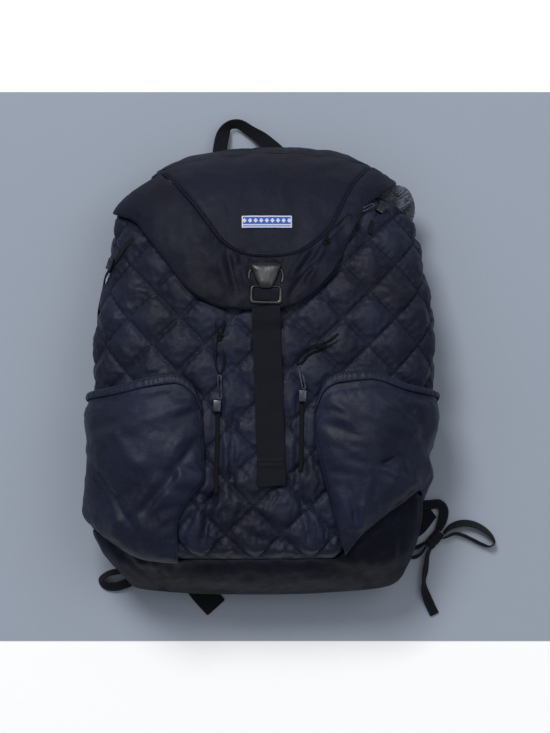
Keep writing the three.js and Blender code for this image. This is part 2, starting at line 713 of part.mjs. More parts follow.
function pocketBulge(pocket, out, rise) {
  const acrossShape = Math.max(Math.sin(Math.PI * out ** POCKET_CREST), 0) ** POCKET_SWELL_ACROSS;
  const alongShape = Math.max(Math.sin(Math.PI * POCKET_MOUTH * rise), 0) ** POCKET_SWELL_ALONG;
  const shape = acrossShape * alongShape;
  const dent = pocket.dents.reduce((sum, { out: o, rise: r, wide, tall, depth }) => {
    return sum + depth * Math.exp(-(((out - o) / wide) ** 2) - ((rise - r) / tall) ** 2);
  }, 0);
  return POCKET_BULGE * shape * (1 - dent);
}

function buildPocket(pocket) {
  const place = (extra) => (i, j) => {
    const out = pocket.side > 0 ? i / POCKET_COLUMNS : 1 - i / POCKET_COLUMNS;
    const rise = j / POCKET_ROWS;
    const { u, y } = pocketSpot(pocket, out, rise);
    return above(u, y, LAYER_GAP + pocketBulge(pocket, out, rise) + extra);
  };
  return slab({ columns: POCKET_COLUMNS, rows: POCKET_ROWS, outer: place(CLOTH), inner: place(0) });
}

function buildBinding(pocket) {
  const columns = 2 * POCKET_COLUMNS;
  const height = BINDING_WIDTH / (POCKET_HEIGHT * HALF_LENGTH);
  const place = (extra) => (i, j) => {
    const out = pocket.side > 0 ? i / columns : 1 - i / columns;
    const rise = 1 - (1 - j) * height;
    const { u, y } = pocketSpot(pocket, out, rise);
    const lift = LAYER_GAP + pocketBulge(pocket, out, rise) + CLOTH + LAYER_GAP;
    return above(u, y, lift + extra);
  };
  return slab({ columns, rows: 1, outer: place(CLOTH), inner: place(0) });
}

for (const [name, pocket] of Object.entries(POCKETS)) {
  add("pocket_" + name, buildPocket(pocket), materials.pocket);
  add("pocket_binding_" + name, buildBinding(pocket), materials.pocket);
}

// Zips with their sliders, links and doubled pull cords
const onFront = ([x, y]) => ({ u: roundAt(x, y), y });
const onBag = ([across, along]) => spotAt(across, along);
const ZIPS = {
  zip_left: {
    way: [[-0.253, -0.13], [-0.256, -0.348], [-0.261, -0.53]].map(onBag),
    slider: [-0.255, -0.148],
    turn: 0,
    sink: 1.9,
  },
  zip_right: {
    way: [[0.219, -0.083], [0.217, -0.261], [0.211, -0.435]].map(onBag),
    slider: [0.222, -0.104],
    turn: 0,
    sink: 1.9,
  },
  side_zip_left: {
    way: [
      ...[[-0.728, 0.591], [-0.794, 0.535], [-0.85, 0.465]].map(onBag),
      { u: -1.156 * HALF_WIDTH, y: 0.365 * HALF_LENGTH },
      { u: -1.289 * HALF_WIDTH, y: 0.226 * HALF_LENGTH },
    ],
    slider: [-0.844, 0.474],
    turn: -0.5,
    sink: 0,
  },
  side_zip_right: {
    way: [[0.678, 0.743], [0.622, 0.683], [0.6, 0.609]].map(onBag),
    slider: [0.661, 0.72],
    turn: -0.4,
    sink: 0.8,
  },
};
const ZIP_STEPS = 7;
for (const [name, zip] of Object.entries(ZIPS)) {
  const sizes = { width: ZIP_WIDTH, thickness: ZIP_THICKNESS, steps: ZIP_STEPS, across: 1 };
  add(name, bandOnBag({ way: zip.way, lift: LAYER_GAP - zip.sink, ...sizes }), materials.zip);
  const spot = onBag(zip.slider);
  const lift = ZIP_THICKNESS + 2 * LAYER_GAP + SLIDER_HEIGHT / 2 - zip.sink;
  const body = new THREE.BoxGeometry(SLIDER_WIDTH, SLIDER_LENGTH, SLIDER_HEIGHT);
  add(name.replace("zip", "zip_slider"), body, materials.metal, seat(spot.u, spot.y, lift, zip.turn));
}

function stadium(length, width) {
  const shape = new THREE.Shape();
  const radius = width / 2;
  const straight = length / 2 - radius;
  shape.absarc(0, straight, radius, 0, Math.PI);
  shape.absarc(0, -straight, radius, Math.PI, 2 * Math.PI);
  return shape;
}

function linkGeometry() {
  const outline = stadium(LINK_LENGTH, LINK_WIDTH);
  outline.holes.push(stadium(LINK_LENGTH - 2 * LINK_WIRE, LINK_WIDTH - 2 * LINK_WIRE));
  const shape = { depth: LINK_WIRE, bevelEnabled: false, curveSegments: 4 };
  return new THREE.ExtrudeGeometry(outline, shape).translate(0, 0, -LINK_WIRE / 2);
}

const LINK_SINK = 0.4;
const LINKS = {
  pull_link_left: { at: [-0.242, -0.066], turn: 0.04, lift: -LINK_SINK },
  pull_link_right: { at: [0.219, -0.0235], turn: 0.19, lift: -LINK_SINK },
  pull_link_top: { at: [0.564, 0.711], turn: -1.03, lift: ON_LID },
};
for (const [name, { at, turn, lift }] of Object.entries(LINKS)) {
  const spot = onBag(at);
  add(name, linkGeometry(), materials.metal, seat(spot.u, spot.y, lift, turn));
}

// Routes of the pull cords, from one free end through the link's eye to the other: across, along and height
// above the quilting or the lid
const PULL_CORDS = {
  pull_cord_left: [
    [-49, 52, -0.2], [-46.4, 43, -0.2], [-45, 35.7, 0.0], [-46.6, 27, -0.2], [-47.6, 17, -0.2],
    [-47.4, 8, -0.1], [-46, 2.2, 0.1], [-43.2, -1.2, 0.2], [-40.4, 2.4, 0.1], [-39.4, 8, -0.1],
    [-39, 17, -0.2], [-40, 27, -0.2], [-41.6, 35.7, 0.0], [-40.6, 43, -0.2], [-38.6, 52, -0.2],
  ],
  pull_cord_right: [
    [76.2, 38.6, -0.1], [68, 32.6, -0.1], [59.6, 28.4, 0.1], [49.4, 26.2, -0.1], [40, 21.2, -0.1],
    [34.4, 15.2, 0.0], [33.6, 10.8, 0.2], [36.6, 8.2, 0.3], [40, 10.8, 0.2], [43.4, 15.6, 0.0],
    [50.8, 20.6, -0.1], [60.2, 24.6, 0.1], [69.4, 27.6, -0.1], [77.4, 32.6, -0.1],
  ],
  pull_cord_top: [
    [57.6, 124, 5.7], [61.4, 131.8, 5.7], [66.2, 139.2, 5.8], [73.6, 147, 5.7], [80.4, 153.4, 5.8],
    [85, 157.2, 6.1], [88.2, 157.4, 6.3], [88.8, 154, 6.1], [84.8, 149.4, 5.8], [78.2, 142.8, 5.7],
    [70.6, 135.4, 5.8], [65.6, 129, 5.7], [63, 120.4, 5.7],
  ],
};
const CORD_SIDES = 8;
const CORD_STEP = 2.6 * PULL_CORD_DIAMETER;

function cordGeometry(points) {
  const route = new THREE.CatmullRomCurve3(points.map(([x, y, lift]) => above(roundAt(x, y), y, lift)));
  const section = new THREE.Shape();
  section.absarc(0, 0, PULL_CORD_DIAMETER / 2, 0, 2 * Math.PI);
  const steps = Math.round(route.getLength() / CORD_STEP);
  const shape = { steps, extrudePath: route, curveSegments: CORD_SIDES };
  return new THREE.ExtrudeGeometry(section, { ...shape, bevelEnabled: false });
}
for (const [name, points] of Object.entries(PULL_CORDS)) add(name, cordGeometry(points), materials.cord);

// Fastener: a wedge-shaped shell over a frame that holds the webbing
const BUCKLE_CORNER_ALONG = 5;
const BUCKLE_CORNER_ACROSS = 2;
const BUCKLE_X = 3.1;
const FRAME_Y = 0.334 * HALF_LENGTH;
const BUCKLE_Y = FRAME_Y + FRAME_LENGTH / 2 + SEAM_GAP + BUCKLE_LENGTH / 2;

function extrude(outline, depth) {
  return new THREE.ExtrudeGeometry(outline, { depth, bevelEnabled: false, curveSegments: 4 });
}

function buckleShell() {
  const outline = new THREE.Shape();
  const top = BUCKLE_LENGTH / 2;
  const shoulder = BUCKLE_WIDTH / 2;
  outline.moveTo(-BUCKLE_TIP_WIDTH / 2, -top);
  outline.lineTo(BUCKLE_TIP_WIDTH / 2, -top);
  outline.lineTo(shoulder, top - BUCKLE_CORNER_ALONG);
  outline.lineTo(shoulder - BUCKLE_CORNER_ACROSS, top);
  outline.lineTo(BUCKLE_CORNER_ACROSS - shoulder, top);
  outline.lineTo(-shoulder, top - BUCKLE_CORNER_ALONG);
  outline.closePath();
  return extrude(outline, BUCKLE_HEIGHT);
}

function rectangle(width, height) {
  const shape = new THREE.Shape();
  shape.moveTo(-width / 2, -height / 2);
  shape.lineTo(width / 2, -height / 2);
  shape.lineTo(width / 2, height / 2);
  shape.lineTo(-width / 2, height / 2);
  shape.closePath();
  return shape;
}

function buckleFrame() {
  const outline = rectangle(BUCKLE_WIDTH, FRAME_LENGTH);
  outline.holes.push(rectangle(BUCKLE_WIDTH - 2 * FRAME_BAR, FRAME_LENGTH - 2 * FRAME_BAR));
  return extrude(outline, FRAME_BAR);
}

const shellSpot = onFront([BUCKLE_X, BUCKLE_Y]);
const frameSpot = onFront([BUCKLE_X, FRAME_Y]);
const BUCKLE_LIFT = ON_LID + 0.4;
add("buckle_shell", buckleShell(), materials.plastic, seat(shellSpot.u, shellSpot.y, BUCKLE_LIFT));
add("buckle_frame", buckleFrame(), materials.plastic, seat(frameSpot.u, frameSpot.y, BUCKLE_LIFT));
const webWidth = BUCKLE_WIDTH - 2 * FRAME_BAR - 2 * SEAM_GAP;
const webLength = FRAME_LENGTH - 2 * FRAME_BAR - 2 * SEAM_GAP;
const webPlate = new THREE.BoxGeometry(webWidth, webLength, WEBBING_THICKNESS);
const webSeat = seat(frameSpot.u, frameSpot.y, BUCKLE_LIFT + WEBBING_THICKNESS);
add("buckle_web", webPlate, materials.webbing, webSeat);

const STRAP_TOP_Y = FRAME_Y - FRAME_LENGTH / 2 - 2 * LAYER_GAP;
const STRAP_SPOTS = [[0.025, 0.087], [0.039, -0.217], [0.05, -0.5]];
const strapWay = [onFront([BUCKLE_X, STRAP_TOP_Y]), ...STRAP_SPOTS.map(onBag)];
const strapLift = (share) => {
  const down = THREE.MathUtils.smoothstep(share, 0.06, 0.14);
  return THREE.MathUtils.lerp(ON_LID, LAYER_GAP, down);
};
const strapSizes = { width: STRAP_WIDTH, thickness: WEBBING_THICKNESS, steps: 22, across: 2 };
add("centre_strap", bandOnBag({ way: strapWay, lift: strapLift, ...strapSizes }), materials.webbing);

// Harness underneath
const strapStations = [
  { across: 0.389, along: 0.852, wide: 0.9 },
  { across: 0.433, along: 0.565, wide: 1 },
  { across: 0.489, along: 0.261, wide: 1 },
  { across: 0.511, along: -0.0435, wide: 0.9 },
  { across: 0.489, along: -0.313, wide: 0.6 },
];
const STRAP_STEPS = 10;
const strapProfile = [
  { across: -1, top: 0.7, bottom: 0.25 },
  { across: -0.8, top: 0.97, bottom: 0 },
  { across: 0.8, top: 0.97, bottom: 0 },
  { across: 1, top: 0.7, bottom: 0.25 },
];

function shoulderStrap(side) {
  const points = strapStations.map(({ across, along, wide }) => {
    return new THREE.Vector3(side * across * HALF_WIDTH, -along * HALF_LENGTH, wide);
  });
  const curve = new THREE.CatmullRomCurve3(points);
  const place = (key) => (i, j) => {
    const point = curve.getPoint(1 - j / STRAP_STEPS);
    const row = strapProfile[i];
    const x = point.x + (row.across * point.z * SHOULDER_STRAP_WIDTH) / 2;
    return new THREE.Vector3(x, -point.y, row[key] * SHOULDER_STRAP_THICKNESS);
  };
  return slab({ columns: 3, rows: STRAP_STEPS, outer: place("top"), inner: place("bottom") });
}

const ADJUSTER_WIDTH = 32;
const ADJUSTER_LENGTH = 22;
const ADJUSTER_HEIGHT = 4;
const ADJUSTER_BAR = 4;
const ADJUSTER_SLOT = 5;
const STRAP_END = strapStations[strapStations.length - 1];
const ADJUSTER_AT = {
  x: STRAP_END.across * HALF_WIDTH,
  y: STRAP_END.along * HALF_LENGTH - SEAM_GAP - ADJUSTER_LENGTH / 2,
};

function adjuster() {
  const outline = rectangle(ADJUSTER_WIDTH, ADJUSTER_LENGTH);
  for (const y of [-1, 1]) {
    const slot = rectangle(ADJUSTER_WIDTH - 2 * ADJUSTER_BAR, ADJUSTER_SLOT).getPoints();
    const shift = (y * (ADJUSTER_SLOT + ADJUSTER_BAR)) / 2;
    outline.holes.push(new THREE.Path(slot.map((point) => new THREE.Vector2(point.x, point.y + shift))));
  }
  return extrude(outline, ADJUSTER_HEIGHT);
}

const WEB_TOP_Y = ADJUSTER_AT.y - ADJUSTER_LENGTH / 2 - SEAM_GAP;
const WEB_STRAIGHT = 8;
const WEB_LEVEL = 1.3;
const UP = [0, 0, 1];
const flat = (x, y, z = WEB_LEVEL, wide = 1) => ({ at: [x, y, z], face: UP, wide });
const webTop = (side) => [0, WEB_STRAIGHT].map((down) => flat(side * ADJUSTER_AT.x, WEB_TOP_Y - down));
const LOWER_WEBS = {
  left: [...webTop(-1), flat(-92, -150), flat(-84, -200), flat(-66, -228), flat(-49, -247)],
  right: [
    ...webTop(1), flat(104, -136), flat(128, -160), flat(154, -163), flat(177, -146, WEB_LEVEL, 0.6),
  ],
};
for (const [name, side] of [["left", -1], ["right", 1]]) {
  add("shoulder_strap_" + name, shoulderStrap(side), materials.back);
  const lock = add("adjuster_" + name, adjuster(), materials.plastic);
  lock.position.set(side * ADJUSTER_AT.x, ADJUSTER_AT.y, SEAM_GAP);
  const sizes = { width: LOWER_WEBBING_WIDTH, thickness: WEBBING_THICKNESS, steps: 10 };
  add("lower_web_" + name, ribbon({ stations: LOWER_WEBS[name], ...sizes }), materials.webbing);
}

// Haul loop at the top, flat at its left foot and standing on its edge over the top
const HAUL_LEFT_X = -46;
const HAUL_RIGHT_X = 20;
const HAUL_STRAIGHT = 6;
const haulStations = [
  { at: [HAUL_LEFT_X, PANEL_TOP_Y + SEAM_GAP, 15], face: UP },
  { at: [HAUL_LEFT_X, PANEL_TOP_Y + HAUL_STRAIGHT, 14.6], face: UP },
  { at: [-45, 233, 13], face: UP },
  { at: [-42, 247, 11], face: [0.3, -0.2, 1] },
  { at: [-36, 257, 10], face: [0.5, -0.9, 0.7] },
  { at: [-26, 258.5, 10], face: [0, -1, 0.8] },
  { at: [-13, 251, 10], face: [-0.4, -0.8, 1] },
  { at: [2, 240.5, 12], face: [0, -0.2, 1] },
  { at: [HAUL_RIGHT_X, PANEL_TOP_Y + HAUL_STRAIGHT, 14.6], face: UP },
  { at: [HAUL_RIGHT_X, PANEL_TOP_Y + SEAM_GAP, 15], face: UP },
];
const haulSizes = { width: HAUL_WEBBING_WIDTH, thickness: WEBBING_THICKNESS, steps: 18 };
add("haul_loop", ribbon({ stations: haulStations, ...haulSizes }), materials.webbing);

// Webbing loops beside the lower corners
const LOOP_ROOT_Z = PANEL_LEVEL - 1.2;
const TIES = {
  corner_loop_left: [
    { at: [-104, -200, LOOP_ROOT_Z], face: UP },
    { at: [-122, -203, LOOP_ROOT_Z], face: UP },
    { at: [-138, -207.5, 9], face: [0, 1, 0.9] },
    { at: [-152, -208.5, 7], face: [0, 1, 0.7] },
    { at: [-163, -211.5, 6], face: [-0.5, 0.9, 0.6] },
    { at: [-169.5, -217.5, 6], face: [-1, 0, 0.6] },
    { at: [-165, -223.5, 4.5], face: [-0.5, -0.6, 1] },
    { at: [-155, -224.5, 4], face: [0, -0.2, 1] },
    { at: [-144, -221.5, 5], face: UP },
    { at: [-134, -217, 8], face: UP },
    { at: [-122, -214, LOOP_ROOT_Z], face: UP },
    { at: [-104, -213, LOOP_ROOT_Z], face: UP },
  ],
  strap_bight_right: [
    flat(158, -139, 3.5), flat(172, -139, 3.4), flat(184, -138.5, 3.4), flat(188.6, -144, 3.6),
    flat(187.6, -154, 4), flat(183, -165.6, 4, 0.7),
  ],
  strap_loop_right: [
    { at: [188.2, -169.4, 6], face: [-0.6, 0.8, 0.1] },
    { at: [192.6, -164.6, 6], face: [-0.5, 0.8, 0.3] },
    { at: [199, -160.5, 5.6], face: [-0.4, 0.8, 0.6] },
    { at: [209, -158, 5.6], face: [0, 1, 0.8] },
    { at: [220, -159.5, 5.6], face: [0.3, 1, 0.8] },
    { at: [231, -165, 5.6], face: [0.6, 0.8, 0.6] },
    { at: [239.5, -173, 5.6], face: [0.8, 0.6, 0.3] },
    { at: [241.5, -179, 5.5], face: [1, -0.2, 0.1] },
    { at: [237, -182.5, 5.5], face: [0, -1, 0.1] },
    { at: [228, -180, 5.6], face: [-0.4, -0.9, 0.3] },
    { at: [218, -175, 5.6], face: [-0.4, -0.9, 0.3] },
    { at: [208, -170.5, 5.6], face: [-0.2, -1, 0.3] },
    { at: [200, -169, 5.6], face: [0, -1, 0.3] },
    { at: [194, -171.5, 5.6], face: [0.1, -1, 0.2] },
    { at: [188, -174.2, 5.6], face: [0.3, -1, 0.1] },
  ],
  keeper_loop_right: [
    { at: [169.6, -178.4, 5.4], face: [-0.3, 1, 0.1] },
    { at: [160, -183.6, 5.4], face: [0, 1, 0.3] },
    { at: [150, -184.6, 5.4], face: [0, 1, 0.2] },
    { at: [145, -188.5, 5.4], face: [-1, 0, 0] },
    { at: [150, -193, 5.4], face: [0, -1, 0.2] },
    { at: [159, -193.4, 5.4], face: [0.1, -1, 0.4] },
    { at: [166, -189, 5.4], face: [0.6, -1, 0.2] },
    { at: [170.4, -182.6, 5.4], face: [0.9, -0.5, 0.1] },
  ],
  strap_tail_right: [
    { at: [175, -184.6, 5.6], face: [0.9, -0.3, 0.2] },
    { at: [172, -190.5, 5.6], face: [1, 0.1, 0.4] },
    { at: [171, -198, 5.6], face: [1, 0, 0.5] },
    { at: [169.5, -208, 5.6], face: [0.9, 0, 0.6] },
    { at: [168, -218, 5.4], face: [1, 0, 0.4] },
    { at: [168.6, -228, 4.8], face: [0.8, 0, 0.8] },
    { at: [171.6, -237, 2.6], face: [0.2, 0, 1] },
    { at: [176, -247, 1.8], face: UP },
    { at: [179.4, -254, 1.6], face: UP },
  ],
};
for (const [name, stations] of Object.entries(TIES)) {
  const sizes = { width: TIE_WEBBING_WIDTH, thickness: WEBBING_THICKNESS, steps: 2 * stations.length };
  add(name, ribbon({ stations, ...sizes }), materials.webbing);
}

const KEEPER = { x: 178.7, y: -175, angle: 0.87, length: 20, width: 12, height: 7 };
const keeperBody = extrude(stadium(KEEPER.length, KEEPER.width), KEEPER.height);
const keeper = add("strap_keeper_right", keeperBody, materials.webbing);
keeper.position.set(KEEPER.x, KEEPER.y, SEAM_GAP);
keeper.rotation.z = KEEPER.angle - Math.PI / 2;

export default bag;
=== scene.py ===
import math

import bmesh
import bpy
import numpy as np
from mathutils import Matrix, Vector


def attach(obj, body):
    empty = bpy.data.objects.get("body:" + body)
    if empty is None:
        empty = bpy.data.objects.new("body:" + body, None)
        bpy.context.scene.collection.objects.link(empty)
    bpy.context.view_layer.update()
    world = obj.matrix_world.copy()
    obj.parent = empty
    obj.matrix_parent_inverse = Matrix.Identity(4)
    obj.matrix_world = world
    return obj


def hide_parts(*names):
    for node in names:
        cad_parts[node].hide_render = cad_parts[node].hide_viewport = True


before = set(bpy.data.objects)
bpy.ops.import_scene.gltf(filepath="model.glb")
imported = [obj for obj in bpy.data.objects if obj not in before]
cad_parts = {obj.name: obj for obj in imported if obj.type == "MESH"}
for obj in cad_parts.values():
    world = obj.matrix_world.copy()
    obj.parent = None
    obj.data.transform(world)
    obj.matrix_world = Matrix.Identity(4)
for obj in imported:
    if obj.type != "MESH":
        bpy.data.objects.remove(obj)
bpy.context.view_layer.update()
SCENE = bpy.context.scene
MM = 0.001

# Driving sizes, in millimetres
BAG_WIDTH = 360
BAG_LENGTH = 460
BAG_DEPTH = 112
BODY_WALL = 8
CLOTH = 1.6
LID_CLOTH = 2.6
LAYER_GAP = 0.8
SEAM_GAP = 0.5
BACK_PANEL_THICKNESS = 11
SPINE_PAD_WIDTH = 56
SHOULDER_STRAP_WIDTH = 62
SHOULDER_STRAP_THICKNESS = 12
QUILT_ACROSS = 28
QUILT_ALONG = 27.5
QUILT_RELIEF = 4.5
POCKET_BULGE = 19
BINDING_WIDTH = 9
STRAP_WIDTH = 29
WEBBING_THICKNESS = 1.6
PULL_CORD_DIAMETER = 2.2
BUCKLE_WIDTH = 33
BUCKLE_TIP_WIDTH = 14
FRAME_LENGTH = 20
FRAME_BAR = 3.6
HAUL_WIDTH = 15
HARNESS_WEB_WIDTH = 25
TIE_WIDTH = 10
LABEL_WIDTH, LABEL_HEIGHT, LABEL_THICKNESS = 51, 13, 1
LINER_STANDOUT = 12
LINER_FLARE = 9

HALF_WIDTH = BAG_WIDTH / 2
HALF_LENGTH = BAG_LENGTH / 2
PANEL_LEVEL = SHOULDER_STRAP_THICKNESS + SEAM_GAP
BACK_LEVEL = PANEL_LEVEL + BACK_PANEL_THICKNESS + SEAM_GAP
LID_LIFT = 2 * LAYER_GAP
ON_LID = LID_LIFT + LID_CLOTH + LAYER_GAP

# Sections of the bag across its length: along, left, right, front, waist
SECTIONS = np.array([
    (-1.004, -0.27, 0.17, 0.11, 0.05), (-0.996, -0.45, 0.33, 0.2, 0.08),
    (-0.974, -0.72, 0.66, 0.33, 0.12), (-0.945, -0.77, 0.77, 0.5, 0.16),
    (-0.89, -0.82, 0.81, 0.73, 0.22), (-0.835, -0.87, 0.835, 0.9, 0.27),
    (-0.77, -0.92, 0.86, 0.97, 0.31), (-0.67, -0.958, 0.885, 1.01, 0.34),
    (-0.5, -0.958, 0.9, 1.03, 0.36), (-0.33, -0.957, 0.935, 1.03, 0.37),
    (-0.16, -0.958, 0.957, 1.01, 0.37), (0.0, -0.966, 0.975, 1.0, 0.37),
    (0.22, -0.952, 0.975, 0.97, 0.36), (0.43, -0.89, 0.925, 0.9, 0.33),
    (0.56, -0.865, 0.895, 0.84, 0.31), (0.7, -0.83, 0.845, 0.76, 0.27),
    (0.785, -0.755, 0.79, 0.69, 0.24), (0.84, -0.675, 0.73, 0.62, 0.21),
    (0.9, -0.56, 0.625, 0.51, 0.18), (0.945, -0.42, 0.5, 0.39, 0.15),
    (0.975, -0.25, 0.4, 0.27, 0.12), (0.992, -0.03, 0.2, 0.14, 0.06),
])
FRONT_EXPONENT = 2.7
BACK_EXPONENT = 5
SECTION_POINTS = 96

# Edges by share of half the way round and share of half the length
BASE_SEAM = np.array([
    (-1, -0.965), (-0.72, -0.87), (-0.5, -0.69), (-0.3, -0.83), (-0.2, -0.84), (0.2, -0.835), (0.29, -0.71),
    (0.38, -0.6), (0.47, -0.53), (0.56, -0.6), (0.72, -0.87), (1, -0.965),
])
MOUTH_RIM = np.array([(-1, 0.81), (-0.5, 0.76), (-0.35, 0.81), (0.3, 0.81), (0.42, 0.79), (0.56, 0.69),
                      (0.75, 0.72), (1, 0.81)])
LID_TOP_SEAM = np.array([(-1, 0.86), (-0.5, 0.885), (-0.25, 0.935), (0, 0.963), (0.25, 0.95), (0.5, 0.912),
                         (1, 0.86)])
# Lid edges: seam across, seam along, hem across, hem along
LID_EDGES = np.array([
    (-0.567, 0.878, -0.84, 0.7), (-0.482, 0.812, -0.742, 0.67), (-0.391, 0.736, -0.66, 0.6),
    (-0.317, 0.66, -0.555, 0.49), (-0.249, 0.59, -0.425, 0.359), (-0.185, 0.546, -0.289, 0.293),
    (-0.096, 0.517, -0.165, 0.271), (0.006, 0.506, -0.02, 0.268), (0.108, 0.51, 0.115, 0.275),
    (0.221, 0.532, 0.238, 0.315), (0.33, 0.59, 0.38, 0.421), (0.415, 0.68, 0.476, 0.559),
    (0.476, 0.776, 0.54, 0.67), (0.538, 0.85, 0.635, 0.763), (0.6, 0.9, 0.745, 0.838),
])
LID_TOP_RISE = 0.064
LID_APEX_ALONG = 0.994
LID_APEX_ACROSS = 0.1
LID_BACK_REACH = 0.62
POCKETS = {
    "left": {
        "side": -1,
        "inner": np.array([(0, 0.48), (0.25, 0.47), (0.4, 0.4), (0.55, 0.315), (1, 0.335)]),
        "top": np.array([(0, -0.15), (0.06, -0.05), (0.16, -0.005), (0.3, -0.02), (0.5, -0.06), (1, -0.12)]),
        "dents": [(0.25, 0.38, 0.12, 0.2, 0.35), (0.5, 0.3, 0.1, 0.3, 0.25)],
        "side_lift": np.array([(0, 0), (0.08, 3), (0.2, -1), (0.35, -7), (0.6, -7), (0.8, -3), (1, 0)]),
    },
    "right": {
        "side": 1,
        "inner": np.array([(0, 0.46), (0.3, 0.39), (0.6, 0.32), (0.85, 0.28), (1, 0.285)]),
        "top": np.array([(0, -0.15), (0.05, -0.04), (0.13, 0.0), (0.28, 0.01), (0.5, -0.05), (1, -0.12)]),
        "dents": [(0.45, 0.5, 0.13, 0.16, 0.6), (0.22, 0.3, 0.08, 0.2, 0.3)],
        "side_lift": np.array([(0, 0), (0.1, -1), (0.3, -8), (0.5, -9), (0.75, -5), (0.9, -3), (1, -1)]),
    },
}
POCKET_BACK = 0.585
POCKET_FOOT = -0.8
POCKET_HEIGHT = 0.7
POCKET_CREST = 0.66
POCKET_MOUTH = 0.965
POCKET_SWELL_ACROSS = 0.8
POCKET_SWELL_ALONG = 0.6

QUILT_SHIFT = -3.6
QUILT_TOP_Y = 192.8
QUILT_ROWS = 14
FRONT_COLUMNS = 7
SIDE_COLUMNS = 6
MOUTH_WARP_ROW = 3
SEAM_WARP_ROW = 8
# Mesh steps to a lattice place in the simulation, and finer steps to each of those in the end
FINE = 8
SUB = 2


def curve_through(table, column=1):
    """Monotone cubic through a table's rows."""
    xs, ys = table[:, 0], table[:, column]
    spans, rises = np.diff(xs), np.diff(ys)
    slopes = rises / spans
    before = np.concatenate([slopes[:1], slopes])
    after = np.concatenate([slopes, slopes[-1:]])
    total = np.where(before + after == 0, 1, before + after)
    tangents = np.where(before * after <= 0, 0, 2 * before * after / total)

    def at(place):
        inside = np.clip(place, xs[0], xs[-1])
        i = np.clip(np.searchsorted(xs, inside, side="left") - 1, 0, len(xs) - 2)
        t = (inside - xs[i]) / spans[i]
        bend = tangents[i] * spans[i] - rises[i]
        counter = rises[i] - tangents[i + 1] * spans[i]
        return ys[i] + t * rises[i] + t * (1 - t) * ((1 - t) * bend + t * counter)

    return at


LEFT, RIGHT, FRONT, WAIST = (curve_through(SECTIONS, c) for c in (1, 2, 3, 4))
LOWEST_Y = SECTIONS[0, 0] * HALF_LENGTH
LONGEST_Y = SECTIONS[-1, 0] * HALF_LENGTH
TURN = math.pi / 2 - np.linspace(0, math.pi, SECTION_POINTS + 1)
POWER = np.where(TURN > 0, 2 / FRONT_EXPONENT, 2 / BACK_EXPONENT)
OUT = np.abs(np.cos(TURN)) ** POWER
UP = np.abs(np.sin(TURN)) ** POWER
base_seam, mouth_rim, lid_top_seam = map(curve_through, (BASE_SEAM, MOUTH_RIM, LID_TOP_SEAM))


def section(y, side):
    """Half sections of the form at each y, from the front's middle to the back's: x, z and length round."""
    along = y / HALF_LENGTH
    left, right = LEFT(along) * HALF_WIDTH, RIGHT(along) * HALF_WIDTH
    middle, reach = (left + right) / 2, (right - left) / 2
    waist, front = WAIST(along) * BAG_DEPTH, FRONT(along) * BAG_DEPTH
    x = middle[:, None] + (side * reach)[:, None] * OUT
    high = waist[:, None] + (front - waist)[:, None] * UP
    z = BACK_LEVEL + np.where(TURN > 0, high, waist[:, None] * (1 - UP))
    steps = np.hypot(np.diff(x, axis=1), np.diff(z, axis=1))
    length = np.concatenate([np.zeros((len(y), 1)), np.cumsum(steps, axis=1)], axis=1)
    return x, z, length


def side_of(x):
    return np.where(x < 0, -1.0, 1.0)


def unit(vectors):
    return vectors / np.linalg.norm(vectors, axis=1)[:, None]


def run_along(path):
    """Length along a path at each of its points."""
    return np.concatenate([[0], np.cumsum(np.linalg.norm(np.diff(path, axis=0), axis=1))])


def flat_arrays(*arrays):
    shape = np.broadcast_shapes(*[np.shape(a) for a in arrays])
    return shape, [np.broadcast_to(np.asarray(a, float), shape).ravel() for a in arrays]


def form(u, y):
    shape, (u, y) = flat_arrays(u, y)
    points = np.empty((len(u), 3))
    for start in range(0, len(u), 20000):
        part = slice(start, start + 20000)
        side = side_of(u[part])
        x, z, length = section(y[part], side)
        target = np.minimum(np.abs(u[part]), length[:, -1])
        high = np.clip((length < target[:, None]).sum(1), 1, SECTION_POINTS)
        rows = np.arange(len(target))
        low = high - 1
        span = length[rows, high] - length[rows, low]
        t = np.clip((target - length[rows, low]) / np.where(span == 0, 1, span), 0, 1)
        points[part, 0] = x[rows, low] + t * (x[rows, high] - x[rows, low])
        points[part, 1] = y[part]
        points[part, 2] = z[rows, low] + t * (z[rows, high] - z[rows, low])
    return points.reshape(shape + (3,))


def half_round(y, side):
    shape, (y, side) = flat_arrays(y, side)
    return section(y, side)[2][:, -1].reshape(shape)


NORMAL_STEP = 3


def normal(u, y):
    shape, (u, y) = flat_arrays(u, y)
    half = half_round(y, side_of(u))
    inside = np.clip(u, NORMAL_STEP - half, half - NORMAL_STEP)
    around = form(inside + NORMAL_STEP, y) - form(inside - NORMAL_STEP, y)
    up, down = np.minimum(y + NORMAL_STEP, LONGEST_Y), np.maximum(y - NORMAL_STEP, LOWEST_Y)
    along = form(inside, up) - form(inside, down)
    return unit(np.cross(around, along)).reshape(shape + (3,))


def above(u, y, lift):
    return form(u, y) + normal(u, y) * np.asarray(lift)[..., None]


def round_at(x, y):
    shape, (x, y) = flat_arrays(x, y)
    along = y / HALF_LENGTH
    middle = (LEFT(along) + RIGHT(along)) / 2 * HALF_WIDTH
    side = np.where(x < middle, -1.0, 1.0)
    sx, _, length = section(y, side)
    quarter = SECTION_POINTS // 2 + 1
    reach = np.abs(sx[:, :quarter] - middle[:, None])
    found = [np.interp(abs(a - m), r, l[:quarter]) for a, m, r, l in zip(x, middle, reach, length)]
    return (side * np.array(found)).reshape(shape)


SEAM_Y = LID_EDGES[:, 1] * HALF_LENGTH
SEAM_U = round_at(LID_EDGES[:, 0] * HALF_WIDTH, SEAM_Y)
HEM_Y = LID_EDGES[:, 3] * HALF_LENGTH
HEM_U = round_at(LID_EDGES[:, 2] * HALF_WIDTH, HEM_Y)


